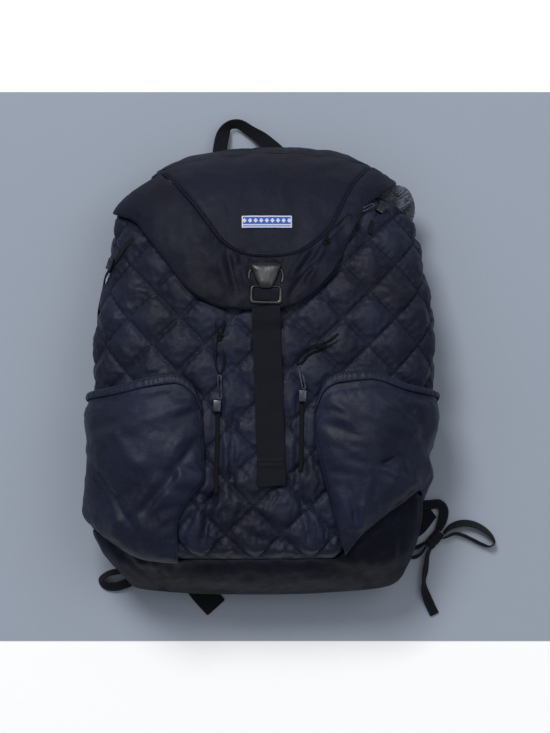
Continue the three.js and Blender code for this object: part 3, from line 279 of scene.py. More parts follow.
def smooth(x, low, high):
    t = np.clip((x - low) / (high - low), 0, 1)
    return t * t * (3 - 2 * t)


def ripple(x, y, size, seed, octaves=3):
    """Soft repeatable noise of about one unit, as a sum of turned waves with bent phases."""
    rng = np.random.default_rng(seed)
    total = np.zeros(np.broadcast_shapes(np.shape(x), np.shape(y)))
    for octave in range(octaves):
        wave = 2 * math.pi / size * 1.9 ** octave
        for _ in range(4):
            a, p, q = rng.uniform(0, 2 * math.pi, 3)
            bend = 1.3 * np.sin(wave * 0.43 * (x * math.cos(p) + y * math.sin(p)) + q)
            total = total + np.sin(wave * (x * math.cos(a) + y * math.sin(a)) + bend + p) / 1.9 ** octave / 4
    return total


def creases(x, y, lines):
    """Sum of folds along lines: x0, y0, x1, y1, width, height. A negative height is a valley."""
    total = np.zeros(np.shape(x))
    for x0, y0, x1, y1, width, height in lines:
        dx, dy = x1 - x0, y1 - y0
        reach = math.hypot(dx, dy)
        t = ((x - x0) * dx + (y - y0) * dy) / reach ** 2
        bow = 0.12 * reach * np.sin(math.pi * np.clip(t, 0, 1)) * math.sin(3 * (x0 + y1))
        off = ((x - x0) * dy - (y - y0) * dx) / reach - bow * 0.3
        fade = smooth(t, -0.15, 0.2) * (1 - smooth(t, 0.8, 1.15))
        total += height * np.exp(-((off / width) ** 2)) * fade
    return total


# Mesh helpers: points are in millimetres until they become a mesh
def ride(obj, slot, *nodes):
    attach(obj, "root")
    if nodes:
        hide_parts(*nodes)
    return obj


def link(name, mesh):
    obj = bpy.data.objects.new(name, mesh)
    SCENE.collection.objects.link(obj)
    return obj


def mesh_of(name, verts, faces, material, uv=None, shade=True):
    mesh = bpy.data.meshes.new(name)
    mesh.from_pydata((np.asarray(verts, float) * MM).tolist(), [], faces)
    if uv is not None:
        layer = mesh.uv_layers.new(name="sew")
        loops = np.empty(len(mesh.loops), int)
        mesh.loops.foreach_get("vertex_index", loops)
        layer.data.foreach_set("uv", np.asarray(uv, float)[loops].ravel())
    mesh.materials.append(material)
    if shade:
        mesh.shade_smooth()
    return link(name, mesh)


def grid_faces(rows, columns, ring=False):
    across = columns if ring else columns + 1
    faces = []
    for low in range(0, rows * across, across):
        for i in range(columns):
            after = (i + 1) % across
            faces.append((low + i, low + after, low + across + after, low + across + i))
    return faces


def grid(name, points, material, uv=None, ring=False):
    """Object from points[row, column]. Rows run up the bag and columns to its right, so faces look out."""
    rows, across = points.shape[0] - 1, points.shape[1]
    columns = across if ring else across - 1
    flat_uv = None if uv is None else uv.reshape(-1, 2)
    return mesh_of(name, points.reshape(-1, 3), grid_faces(rows, columns, ring), material, flat_uv)


def apply(obj):
    """Bakes the modifiers into the mesh."""
    graph = bpy.context.evaluated_depsgraph_get()
    graph.update()
    made = bpy.data.meshes.new_from_object(obj.evaluated_get(graph))
    old = obj.data
    obj.modifiers.clear()
    obj.data = made
    bpy.data.meshes.remove(old)
    obj.data.shade_smooth()
    return obj


def soften(obj, levels=1):
    obj.modifiers.new("Smooth", "SUBSURF").levels = levels
    return apply(obj)


def thicken(obj, thickness):
    """Gives a sheet its thickness, below the face it was modelled on."""
    solid = obj.modifiers.new("Thickness", "SOLIDIFY")
    solid.thickness = thickness * MM
    solid.offset = -1
    return soften(obj)


def coordinates(mesh):
    found = np.empty(len(mesh.vertices) * 3)
    mesh.vertices.foreach_get("co", found)
    return found.reshape(-1, 3)


SIM_SCALE = 10
SIM_FRAMES = 16


def swell(obj, hold, pressure, grow, cap, bending=0.4):
    """Lets the cloth swell between its held points.

    grow is the share of spare cloth, and cap the most that a point may move."""
    mesh = obj.data
    rest = coordinates(mesh)
    mesh.vertices.foreach_set("co", (rest * SIM_SCALE).ravel())
    mesh.update()
    held = obj.vertex_groups.new(name="held")
    held.add(np.flatnonzero(hold).tolist(), 1.0, "REPLACE")
    mod = obj.modifiers.new("Cloth", "CLOTH")
    cloth = mod.settings
    cloth.quality = 4
    cloth.mass = 0.3
    cloth.tension_stiffness = 20
    cloth.compression_stiffness = 20
    cloth.shear_stiffness = 12
    cloth.bending_stiffness = bending
    cloth.air_damping = 1.5
    cloth.use_pressure = True
    cloth.uniform_pressure_force = pressure
    cloth.shrink_min = -grow
    cloth.vertex_group_mass = "held"
    cloth.effector_weights.gravity = 0
    mod.collision_settings.use_collision = False
    mod.collision_settings.use_self_collision = False
    mod.point_cache.frame_start = 1
    mod.point_cache.frame_end = SIM_FRAMES
    for step in range(1, SIM_FRAMES + 1):
        SCENE.frame_set(step)
    graph = bpy.context.evaluated_depsgraph_get()
    moved = coordinates(obj.evaluated_get(graph).to_mesh()) / SIM_SCALE
    obj.evaluated_get(graph).to_mesh_clear()
    obj.modifiers.remove(mod)
    obj.vertex_groups.remove(held)
    SCENE.frame_set(1)
    shift = moved - rest
    reach = np.linalg.norm(shift, axis=1)
    limit = cap * MM * np.tanh(reach / (cap * MM))
    shift *= (limit / np.maximum(reach, 1e-9))[:, None]
    mesh.vertices.foreach_set("co", (rest + shift).ravel())
    mesh.update()


# Shader helpers
class Graph:
    """Node graph of one material, with short names for the nodes it uses."""

    def __init__(self, name):
        self.material = bpy.data.materials.new(name)
        self.material.use_nodes = True
        self.tree = self.material.node_tree
        self.shader = self.tree.nodes["Principled BSDF"]

    def node(self, kind, **settings):
        made = self.tree.nodes.new(kind)
        for key, value in settings.items():
            setattr(made, key, value)
        return made

    def feed(self, socket, value):
        if isinstance(value, bpy.types.NodeSocket):
            self.tree.links.new(value, socket)
        elif value is not None:
            socket.default_value = value

    def math(self, operation, a, b=None, c=None):
        made = self.node("ShaderNodeMath", operation=operation)
        for socket, value in zip(made.inputs, (a, b, c)):
            self.feed(socket, value)
        return made.outputs[0]

    def place(self):
        return self.node("ShaderNodeTexCoord").outputs["Object"]

    def sew(self):
        """Length along the nearest seam and distance from it, in metres."""
        return self.split(self.node("ShaderNodeUVMap", uv_map="sew").outputs[0])[:2]

    def split(self, vector):
        made = self.node("ShaderNodeSeparateXYZ")
        self.feed(made.inputs[0], vector)
        return made.outputs

    def noise(self, scale, detail=3.0, roughness=0.5):
        made = self.node("ShaderNodeTexNoise")
        self.feed(made.inputs["Vector"], self.place())
        made.inputs["Scale"].default_value = scale
        made.inputs["Detail"].default_value = detail
        made.inputs["Roughness"].default_value = roughness
        return made.outputs["Fac"]

    def mix(self, share, a, b):
        made = self.node("ShaderNodeMix", data_type="RGBA")
        self.feed(made.inputs[0], share)
        self.feed(made.inputs[6], a if isinstance(a, bpy.types.NodeSocket) else tuple(a) + (1,))
        self.feed(made.inputs[7], b if isinstance(b, bpy.types.NodeSocket) else tuple(b) + (1,))
        return made.outputs[2]

    def range(self, value, low, high, to_low=0.0, to_high=1.0):
        made = self.node("ShaderNodeMapRange")
        for socket, number in zip(made.inputs, (value, low, high, to_low, to_high)):
            self.feed(socket, number)
        return made.outputs[0]

    def wave(self, value, period):
        """From 0 to 1 and back once a period."""
        turned = self.math("MULTIPLY", value, 2 * math.pi / period)
        return self.math("MULTIPLY_ADD", self.math("SINE", turned), 0.5, 0.5)

    def bump(self, height, depth, before=None):
        made = self.node("ShaderNodeBump")
        made.inputs["Strength"].default_value = 1.0
        made.inputs["Distance"].default_value = depth
        self.feed(made.inputs["Height"], height)
        if before is not None:
            self.feed(made.inputs["Normal"], before)
        return made.outputs[0]

    def weave(self, period):
        """Crossing threads in the row's X and Y, and in Z for the sides."""
        x, y, z = (self.wave(part, period) for part in self.split(self.place()))
        return self.math("MULTIPLY", self.math("MAXIMUM", x, z), y)

    def dashes(self, along, off, at, width=0.0005, period=0.0034):
        """1 on a line of stitches that runs at a distance from an edge."""
        near = self.math("ABSOLUTE", self.math("SUBTRACT", off, at))
        line = self.range(near, width, width * 0.5)
        return self.math("MULTIPLY", line, self.range(self.wave(along, period), 0.3, 0.5))

    def finish(self, color, roughness, bump=None, **inputs):
        self.feed(self.shader.inputs["Base Color"], color)
        self.feed(self.shader.inputs["Roughness"], roughness)
        if bump is not None:
            self.feed(self.shader.inputs["Normal"], bump)
        for key, value in inputs.items():
            self.feed(self.shader.inputs[key.replace("_", " ")], value)
        return self.material


def linear(*srgb):
    return tuple(((v / 255 + 0.055) / 1.055) ** 2.4 if v > 10 else v / 255 / 12.92 for v in srgb)


def nylon(name, dark, light, roughness, stitches=(), thread=(60, 64, 76), lattice=False, weave=0.0011,
          patches=16.0, crinkle=0.0006, folds=0.0, specular=0.16):
    """Woven nylon: broad changes of tone, fine threads, small crinkles and rows of stitches.

    Tones are in sRGB. stitches are distances from the edge, and lattice sews both ways of the quilting."""
    g = Graph(name)
    broad = g.range(g.noise(patches, 4.0), 0.35, 0.65)
    color = g.mix(broad, linear(*dark), linear(*light))
    fleck = g.range(g.noise(900.0, 2.0), 0.42, 0.62, 0.0, 0.35)
    color = g.mix(fleck, color, linear(*[v * 1.35 for v in light]))
    along, off = g.sew()
    height = g.math("MULTIPLY", g.weave(weave), 0.12)
    rough = g.range(g.noise(45.0, 3.0), 0.3, 0.7, roughness - 0.07, roughness + 0.07)
    stitch = None
    if lattice:
        up, down = g.math("ADD", along, off), g.math("SUBTRACT", along, off)
        for line, way in ((up, down), (down, up)):
            share = g.math("FRACT", g.math("MULTIPLY_ADD", line, 0.5, 0.5))
            away = g.math("ABSOLUTE", g.math("SUBTRACT", share, 0.5))
            seam = g.range(away, 0.024, 0.012)
            dash = g.math("MULTIPLY", seam, g.range(g.wave(way, 0.19), 0.25, 0.5))
            stitch = dash if stitch is None else g.math("MAXIMUM", stitch, dash)
    for at in stitches:
        dash = g.dashes(along, off, at)
        stitch = dash if stitch is None else g.math("MAXIMUM", stitch, dash)
    bump = g.bump(height, 0.0006)
    bump = g.bump(g.noise(160.0, 5.0, 0.6), crinkle, bump)
    if folds:
        for scale, depth in ((30.0, folds), (75.0, folds * 0.45)):
            away = g.math("ABSOLUTE", g.math("SUBTRACT", g.noise(scale, 2.5), 0.5))
            bump = g.bump(g.range(away, 0.0, 0.07), depth, bump)
    if stitch is not None:
        color = g.mix(g.math("MULTIPLY", stitch, 0.55), color, linear(*thread))
        bump = g.bump(stitch, 0.0005, bump)
    return g.finish(color, rough, bump, Sheen_Weight=0.03, Sheen_Roughness=0.4,
                    Sheen_Tint=linear(150, 165, 205) + (1,), Specular_IOR_Level=specular)


def webbing(name, dark, light, rib=0.0018, stitches=()):
    """Ribbed webbing with stitched edges."""
    g = Graph(name)
    along, off = g.sew()
    slant = g.math("ADD", along, g.math("MULTIPLY", g.math("PINGPONG", off, 0.003), 0.9))
    ribs = g.wave(slant, rib)
    cords = g.wave(off, 0.0012)
    color = g.mix(g.math("MULTIPLY", ribs, 0.8), linear(*dark), linear(*light))
    color = g.mix(g.range(g.noise(60.0), 0.4, 0.7, 0.0, 0.35), color, linear(*[v * 0.7 for v in dark]))
    bump = g.bump(g.math("ADD", ribs, g.math("MULTIPLY", cords, 0.6)), 0.0004)
    for at in stitches:
        dash = g.dashes(along, off, at)
        color = g.mix(g.math("MULTIPLY", dash, 0.5), color, linear(58, 62, 72))
        bump = g.bump(dash, 0.0003, bump)
    return g.finish(color, 0.78, bump, Sheen_Weight=0.02, Sheen_Roughness=0.5, Specular_IOR_Level=0.2)


def plain(name, dark, light, roughness, **inputs):
    """Moulded or metal surface with fine grain and wear."""
    g = Graph(name)
    wear = g.range(g.noise(70.0, 5.0, 0.6), 0.35, 0.7)
    color = g.mix(wear, linear(*dark), linear(*light))
    rough = g.range(g.noise(120.0, 4.0), 0.3, 0.7, roughness - 0.06, roughness + 0.1)
    return g.finish(color, rough, g.bump(g.noise(400.0), 0.00008), **inputs)


def braid(name, dark, light):
    """Braided cord: slanted strands both ways."""
    g = Graph(name)
    x, y = g.split(g.place())[:2]
    one = g.wave(g.math("ADD", x, y), 0.0016)
    two = g.wave(g.math("SUBTRACT", x, y), 0.0016)
    strands = g.math("MAXIMUM", one, two)
    color = g.mix(strands, linear(*dark), linear(*light))
    return g.finish(color, 0.75, g.bump(strands, 0.0003), Specular_IOR_Level=0.15)


def label_cloth(name):
    """Woven label: blue ground, pale border, a row of pale lozenges and a plain stripe."""
    g = Graph(name)
    x, y = g.sew()
    rim_x = g.range(g.math("MINIMUM", x, g.math("SUBTRACT", 1.0, x)), 0.03, 0.022)
    rim_y = g.range(g.math("MINIMUM", y, g.math("SUBTRACT", 1.0, y)), 0.12, 0.09)
    rim = g.math("MAXIMUM", rim_x, rim_y)
    cell = g.math("ABSOLUTE", g.math("SUBTRACT", g.math("FRACT", g.math("MULTIPLY", x, 9.0)), 0.5))
    rise = g.math("ABSOLUTE", g.math("MULTIPLY", g.math("SUBTRACT", y, 0.6), 2.0))
    gem = g.range(g.math("ADD", cell, rise), 0.42, 0.36)
    stripe = g.range(g.math("ABSOLUTE", g.math("SUBTRACT", y, 0.24)), 0.06, 0.045)
    pale = g.math("MAXIMUM", g.math("MAXIMUM", rim, gem), stripe)
    color = g.mix(pale, linear(46, 84, 176), linear(206, 212, 226))
    thread = g.weave(0.0007)
    color = g.mix(g.math("MULTIPLY", thread, 0.22), color, linear(24, 40, 92))
    return g.finish(color, 0.55, g.bump(thread, 0.0002), Sheen_Weight=0.15, Specular_IOR_Level=0.4)


QUILT = nylon("quilted_nylon", (15, 16, 26), (25, 29, 47), 0.5, lattice=True, thread=(7, 7, 11))
LID = nylon("lid_nylon", (14, 13, 20), (19, 22, 36), 0.55, stitches=(0.0024,), thread=(8, 8, 12), patches=9.0,
            specular=0.1)
POCKET = nylon("pocket_satin", (17, 20, 33), (25, 30, 48), 0.46, stitches=(0.0026,), thread=(9, 10, 16))
BASE = nylon("base_satin", (8, 9, 17), (14, 17, 31), 0.55, stitches=(0.0026,), thread=(5, 5, 9),
             specular=0.07)
LINER = nylon("pale_liner", (44, 47, 55), (84, 88, 98), 0.42, thread=(40, 42, 50), crinkle=0.0016,
              folds=0.002)
BACK = nylon("back_mesh", (24, 25, 29), (33, 34, 39), 0.75, stitches=(0.004,), weave=0.0026, crinkle=0.0003)
LINING = nylon("inner_lining", (20, 21, 27), (28, 30, 38), 0.6)
WEBBING = webbing("dark_webbing", (11, 13, 19), (20, 24, 34))
TIE = webbing("tie_webbing", (12, 14, 20), (26, 29, 39), rib=0.0013, stitches=(0.0014,))
ZIP = webbing("zip_tape", (7, 8, 11), (12, 13, 18), rib=0.001)
TEETH = plain("zip_teeth", (6, 7, 9), (11, 12, 15), 0.5, Specular_IOR_Level=0.2)
CORD = braid("braided_cord", (5, 6, 9), (18, 20, 26))
GLOSS = plain("glossy_plastic", (12, 13, 16), (18, 19, 23), 0.34, Specular_IOR_Level=0.45)
METAL = plain("dark_metal", (52, 54, 60), (92, 95, 103), 0.3, Metallic=1.0)
LABEL = label_cloth("woven_label")

# Camera and cords come first
# The photo's scale, in millimetres a pixel, holds at the level of the view plane
VIEW_X, VIEW_Y, VIEW_PLANE, CAMERA_HEIGHT = 12.24, 5.6, 90.0, 3500.0
PHOTO_HEIGHT = 733
SCALE = 1.02
SENSOR = 36


def build_camera():
    data = bpy.data.cameras.new("camera")
    data.sensor_width = SENSOR
    data.lens = SENSOR * (CAMERA_HEIGHT - VIEW_PLANE) / (PHOTO_HEIGHT * SCALE)
    data.clip_start, data.clip_end = 0.1, 20
    camera = bpy.data.objects.new("camera", data)
    camera.location = Vector((VIEW_X, VIEW_Y, CAMERA_HEIGHT)) * MM
    SCENE.collection.objects.link(camera)
    SCENE.camera = camera


build_camera()

# Pull cords by place: x, y and lift above the form
PULL_CORDS = {
    "pull_cord_left": [
        (-49, 52, -0.2), (-46.4, 43, -0.2), (-45, 35.7, 0), (-46.6, 27, -0.2), (-47.6, 17, -0.2),
        (-47.4, 8, -0.1), (-46, 2.2, 0.1), (-43.2, -1.2, 0.2), (-40.4, 2.4, 0.1), (-39.4, 8, -0.1),
        (-39, 17, -0.2), (-40, 27, -0.2), (-41.6, 35.7, 0), (-40.6, 43, -0.2), (-38.6, 52, -0.2)],
    "pull_cord_right": [
        (76.2, 38.6, -0.1), (68, 32.6, -0.1), (59.6, 28.4, 0.1), (49.4, 26.2, -0.1), (40, 21.2, -0.1),
        (34.4, 15.2, 0), (33.6, 10.8, 0.2), (36.6, 8.2, 0.3), (40, 10.8, 0.2), (43.4, 15.6, 0),
        (50.8, 20.6, -0.1), (60.2, 24.6, 0.1), (69.4, 27.6, -0.1), (77.4, 32.6, -0.1)],
    "pull_cord_top": [
        (57.6, 124, 5.7), (61.4, 131.8, 5.7), (66.2, 139.2, 5.8), (73.6, 147, 5.7), (80.4, 153.4, 5.8),
        (85, 157.2, 6.1), (88.2, 157.4, 6.3), (88.8, 154, 6.1), (84.8, 149.4, 5.8), (78.2, 142.8, 5.7),
        (70.6, 135.4, 5.8), (65.6, 129, 5.7), (63, 120.4, 5.7)],
}


def catmull(points, steps):
    """Points along a centripetal Catmull-Rom curve, as many to each span."""
    points = np.asarray(points, float)
    first = 2 * points[0] - points[1]
    last = 2 * points[-1] - points[-2]
    padded = np.vstack([first, points, last])
    out = []
    for k in range(len(points) - 1):
        p0, p1, p2, p3 = padded[k:k + 4]
        d0, d1, d2 = (max(np.linalg.norm(b - a) ** 0.5, 1e-4) for a, b in ((p0, p1), (p1, p2), (p2, p3)))
        t1 = ((p1 - p0) / d0 - (p2 - p0) / (d0 + d1) + (p2 - p1) / d1) * d1
        t2 = ((p2 - p1) / d1 - (p3 - p1) / (d1 + d2) + (p3 - p2) / d2) * d1
        for t in np.linspace(0, 1, steps, endpoint=False):
            square, cube = 3 * (p2 - p1) - 2 * t1 - t2, 2 * (p1 - p2) + t1 + t2
            out.append(p1 + t1 * t + square * t ** 2 + cube * t ** 3)
    out.append(points[-1])
    return np.array(out)


def tube(name, path, radius, material, sides=10):
    """Mesh tube along points, with narrowed ends."""
    path = np.asarray(path, float)
    ahead = unit(np.gradient(path, axis=0))
    up = np.array([0, 0, 1.0])
    side = np.cross(ahead, up)
    weak = np.linalg.norm(side, axis=1) < 0.05
    side[weak] = np.cross(ahead[weak], [0, 1.0, 0])
    side = unit(side)
    over = np.cross(side, ahead)
    turn = np.linspace(0, 2 * math.pi, sides, endpoint=False)
    ends = np.ones(len(path))
    ends[0] = ends[-1] = 0.75
    ring = side[:, None] * np.cos(turn)[None, :, None] + over[:, None] * np.sin(turn)[None, :, None]
    verts = path[:, None] + ring * radius * ends[:, None, None]
    faces = grid_faces(len(path) - 1, sides, ring=True)
    faces += [tuple(range(sides))[::-1], tuple(range((len(path) - 1) * sides, len(path) * sides))]
    uv = np.stack(np.broadcast_arrays((run_along(path) * MM)[:, None], (turn * radius * MM)[None, :]), -1)
    return mesh_of(name, verts.reshape(-1, 3), faces, material, uv.reshape(-1, 2))


def knot_path(centre, heading, size):
    """Overhand knot lying on the cord."""
    t = np.linspace(0, 2 * math.pi, 64)
    x = (np.sin(t) + 2 * np.sin(2 * t)) * size * 0.32
    y = (np.cos(t) - 2 * np.cos(2 * t)) * size * 0.24
    z = -np.sin(3 * t) * size * 0.24
    c, s = math.cos(heading), math.sin(heading)
    return np.stack([centre[0] + c * x - s * y, centre[1] + s * x + c * y, centre[2] + z], -1)


# Each knot: the two places it ties together, and its heading
KNOTS = {"pull_cord_left": (2, 12, 1.5), "pull_cord_right": (2, 11, 0.6), "pull_cord_top": (1, 11, 0.9)}
CORD_LINKS = {name: name.replace("cord", "link") for name in PULL_CORDS}


def build_cords():
    made = {}
    for name, rows in PULL_CORDS.items():
        across, y, lift = np.array(rows).T
        route = above(round_at(across, y), y, lift)
        path = catmull(route, 6)
        curve = bpy.data.curves.new(name + "_line", "CURVE")
        curve.dimensions = "3D"
        curve.bevel_depth = PULL_CORD_DIAMETER / 2 * MM
        curve.bevel_resolution = 3
        curve.use_fill_caps = True
        line = curve.splines.new("POLY")
        line.points.add(len(path) - 1)
        line.points.foreach_set("co", np.column_stack([path * MM, np.ones(len(path))]).ravel())
        curve.materials.append(CORD)
        cord = ride(link(name + "_line", curve), "cord", name)
        a, b, heading = KNOTS[name]
        centre = (route[a] + route[b]) / 2 + normal(round_at(rows[a][0], rows[a][1]), rows[a][1]) * 1.2
        knot = ride(tube(name + "_knot", knot_path(centre, heading, 4.2), 1.15, CORD, sides=8), "cord")
        made[name] = (cord, path[0], knot)
    return made


for name, (cord, start, knot) in build_cords().items():
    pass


# Quilted body, under the line of the strap and the zips, each with how deep it sits
STRAP_LINE_Y, STRAP_LINE_X = (-115, -50, 20, 66.8), (9, 7, 4.5, 3.1)
ZIPS = {
    "zip_left": ([(-45.5, -30), (-46, -80), (-47, -122)], 1.9),
    "zip_right": ([(39.5, -19), (39, -60), (38, -100)], 1.9),
    "side_zip_left": ([(-131, 136), (-143, 123), (-153, 107)], 0.0),
    "side_zip_right": ([(122, 171), (112, 157), (108, 140)], 0.8),
}
COLUMNS = 2 * (FRONT_COLUMNS + SIDE_COLUMNS) * FINE


def body_u(k, y):
    """Length round at which lattice column k passes y."""
    side = side_of(k)
    end = QUILT_ACROSS * FRONT_COLUMNS + side * QUILT_SHIFT
    share = (np.abs(k) - FRONT_COLUMNS) / SIDE_COLUMNS
    far = side * (end + (half_round(y, side) - end) * share)
    return np.where(np.abs(k) <= FRONT_COLUMNS, QUILT_SHIFT + QUILT_ACROSS * k, far)


def body_spot(k, j):
    """u and y of lattice place k across and j up, both may be parts of a step."""
    guess = QUILT_TOP_Y - QUILT_ALONG * (QUILT_ROWS - j)
    inside = np.clip(guess, LOWEST_Y, LONGEST_Y)
    side = side_of(k)
    around = np.clip(body_u(k, inside) / half_round(inside, side), -1, 1)
    down = QUILT_ROWS - j
    top = QUILT_TOP_Y - QUILT_ALONG * MOUTH_WARP_ROW
    bottom = QUILT_TOP_Y - QUILT_ALONG * SEAM_WARP_ROW
    up_share = np.clip(1 - down / MOUTH_WARP_ROW, 0, 1)
    low_share = np.clip((down - SEAM_WARP_ROW) / (QUILT_ROWS - SEAM_WARP_ROW), 0, 1)
    y = np.where(down < MOUTH_WARP_ROW, top + (mouth_rim(around) * HALF_LENGTH - top) * up_share, guess)
    y = np.where(down > SEAM_WARP_ROW, bottom + (base_seam(around) * HALF_LENGTH - bottom) * low_share, y)
    return body_u(k, y), y


# Folds of the quilting: x0, y0, x1, y1, width, height
BODY_FOLDS = [
    (-76, -115, -47, -131, 4, -5), (-60, -125, -72, -182, 5, 4), (-50, -120, -60, -180, 4, -4),
    (-36, -20, -38, -110, 3.5, 3), (-28, -40, -30, -120, 3, -2.5), (30, -30, 28, -110, 3.5, 2.5),
    (-24, -130, 30, -150, 5, 2.5), (-20, -160, 28, -176, 5, -2.5), (44, -60, 60, -180, 4, 3),
    (34, -90, 46, -170, 3.5, -3), (-110, 110, -60, 60, 5, 2), (110, 100, 60, 70, 5, 2),
]


def crumple(x, y, size, seed, octaves=2):
    """Sharp ridges and soft hollows, as in cloth that has been crushed."""
    return 0.8 - 2.2 * np.abs(ripple(x, y, size, seed, octaves))


def finer(values, steps):
    """Values of a ring grid on a grid of more steps, smoothed: rows up, columns round."""
    rows, columns = values.shape[:2]
    wrapped = np.concatenate([values, values[:, :1]], axis=1)
    j = np.arange((rows - 1) * steps + 1) / steps
    i = np.arange(columns * steps) / steps
    j0, i0 = np.minimum(j.astype(int), rows - 2), np.minimum(i.astype(int), columns - 1)
    tj, ti = (j - j0)[:, None, None], (i - i0)[None, :, None]
    low = wrapped[j0][:, i0] * (1 - ti) + wrapped[j0][:, i0 + 1] * ti
    high = wrapped[j0 + 1][:, i0] * (1 - ti) + wrapped[j0 + 1][:, i0 + 1] * ti
    out = low * (1 - tj) + high * tj
    out = (np.roll(out, 1, 1) + 2 * out + np.roll(out, -1, 1)) / 4
    out[1:-1] = (out[:-2] + 2 * out[1:-1] + out[2:]) / 4
    return out


def body_room(u, y):
    """The highest lift of the quilting at each place, so that it stays under what lies on it."""
    x = form(u, y)[..., 0]
    room = np.full(np.shape(u), 2.8)
    strap_x = np.interp(y, STRAP_LINE_Y, STRAP_LINE_X)
    on_strap = (1 - smooth(np.abs(x - strap_x), 14, 21)) * smooth(y, -124, -114)
    room = room + (0.1 - room) * on_strap
    for points, sink in (ZIPS["zip_left"], ZIPS["zip_right"]):
        (x0, y0), (x1, y1) = points[0], points[-1]
        t = np.clip(((x - x0) * (x1 - x0) + (y - y0) * (y1 - y0)) / ((x1 - x0) ** 2 + (y1 - y0) ** 2), 0, 1)
        away = np.hypot(x - x0 - t * (x1 - x0), y - y0 - t * (y1 - y0))
        near = 1 - smooth(away, 3.5, 11)
        room = room + (0.4 - sink - room) * near
    hem = np.interp(u, HEM_U, HEM_Y, left=400, right=400)
    room = np.where(y > hem - 4, np.minimum(room, 0.8), room)
    for pocket in POCKETS.values():
        side = pocket["side"]
        foot = POCKET_FOOT * HALF_LENGTH
        top_edge, inner = curve_through(pocket["top"]), curve_through(pocket["inner"])
        high = top_edge(np.zeros(1))[0] * HALF_LENGTH
        inner_u = round_at(side * inner(np.clip((y - foot) / (high - foot), 0, 1)) * HALF_WIDTH, y)
        back_u = side * POCKET_BACK * half_round(y, np.full(np.shape(y), float(side)))
        out = (u - inner_u) / (back_u - inner_u)
        under = (out > -0.03) & (out < 1.03) & (y < top_edge(np.clip(out, 0, 1)) * HALF_LENGTH + 5)
        room = np.where(under, np.minimum(room, 0.2), room)
    return room


def under(points, u, y, room):
    """Points brought down to the room above the form, with a soft bend."""
    base, out = form(u, y), normal(u, y)
    lift = ((points - base) * out).sum(-1)
    bent = room - 0.5 * np.logaddexp(0, (room - lift) / 0.5)
    return points + out * np.minimum(bent - lift, 0)[..., None]


def lattice_place(fine):
    count = 2 * (FRONT_COLUMNS + SIDE_COLUMNS) * fine
    across = np.arange(count) / fine - FRONT_COLUMNS - SIDE_COLUMNS
    return np.meshgrid(across, np.arange(QUILT_ROWS * fine + 1) / fine)


def quilt_lift(k, j):
    """Puffed lift between the seams of the lattice, distance from them, and share away from the edges."""
    a = np.abs(np.sin(math.pi * (k + j) / 2))
    b = np.abs(np.sin(math.pi * (k - j) / 2))
    away = np.arcsin(np.minimum(a, b)) * 2 / math.pi * 19.6
    puff = 0.62 * (1 - np.exp(-away / 3.4)) + 0.38 * (a * b) ** 0.6
    edge = np.minimum(smooth(j, 0, 0.5), smooth(QUILT_ROWS - j, 0, 0.5))
    return -QUILT_RELIEF - 0.4 + (QUILT_RELIEF + 0.4) * puff * edge - (1 - edge) * 1.2, away, edge


def build_body():
    k, j = lattice_place(FINE)
    u, y = body_spot(k, j)
    lift, away, edge = quilt_lift(k, j)
    body = grid("body_sewn", above(u, y, lift), QUILT, ring=True)
    before = coordinates(body.data) / MM
    hold = np.where(away < 0.3, 1.0, 0.0)
    hold[0, :] = hold[-1, :] = 1
    swell(body, hold.ravel(), pressure=2.2, grow=0.04, cap=2.0)
    shift = (coordinates(body.data) / MM - before).reshape(k.shape + (3,))
    bpy.data.objects.remove(body)

    k, j = lattice_place(FINE * SUB)
    u, y = body_spot(k, j)
    lift, away, edge = quilt_lift(k, j)
    x = form(u, y)[..., 0]
    low = smooth(-y, 20, 150) * (1 - smooth(np.abs(x), 60, 110))
    gather = crumple(u * 2.4, y * 0.8, 34, 5) * low * 1.1
    crush = crumple(u * 0.8, y * 1.5, 42, 3) * 0.75 + crumple(u, y * 1.3, 19, 4) * 0.3
    rising, falling = np.abs(np.sin(math.pi * (k + j) / 2)), np.abs(np.sin(math.pi * (k - j) / 2))
    seam_way = np.where(rising < falling, k - j, k + j)
    pucker = 0.45 * np.sin(seam_way * 14.5 + 2.5 * ripple(u, y, 30, 9)) * np.exp(-((away - 2.5) / 3) ** 2)
    free = smooth(away, 0, 5) * edge
    folds = creases(x, y, BODY_FOLDS)
    lift = lift + (crush + gather) * free + folds * edge + pucker * edge
    points = under(above(u, y, lift) + finer(shift, SUB), u, y, body_room(u, y))
    body = grid("body_quilting", points, QUILT, np.stack([k, j], -1), ring=True)
    ride(body, "quilt", "main_body")


def build_lining():
    across = np.arange(0, COLUMNS, 3) / FINE - FRONT_COLUMNS - SIDE_COLUMNS
    k, j = np.meshgrid(across, np.linspace(0, QUILT_ROWS, 43))
    u, y = body_spot(k, j)
    rim = smooth(j, QUILT_ROWS - 0.5, QUILT_ROWS) + 1 - smooth(j, 0, 0.5)
    lift = -QUILT_RELIEF - BODY_WALL + rim * (BODY_WALL - 1.4) + 0.5 * ripple(u, y, 50, 8)
    points = above(u, y, lift)
    lining = grid("body_lining", points, LINING, np.stack([u * MM, y * MM], -1), ring=True)
    lining.data.flip_normals()
    ride(lining, "quilt")


build_body()
build_lining()


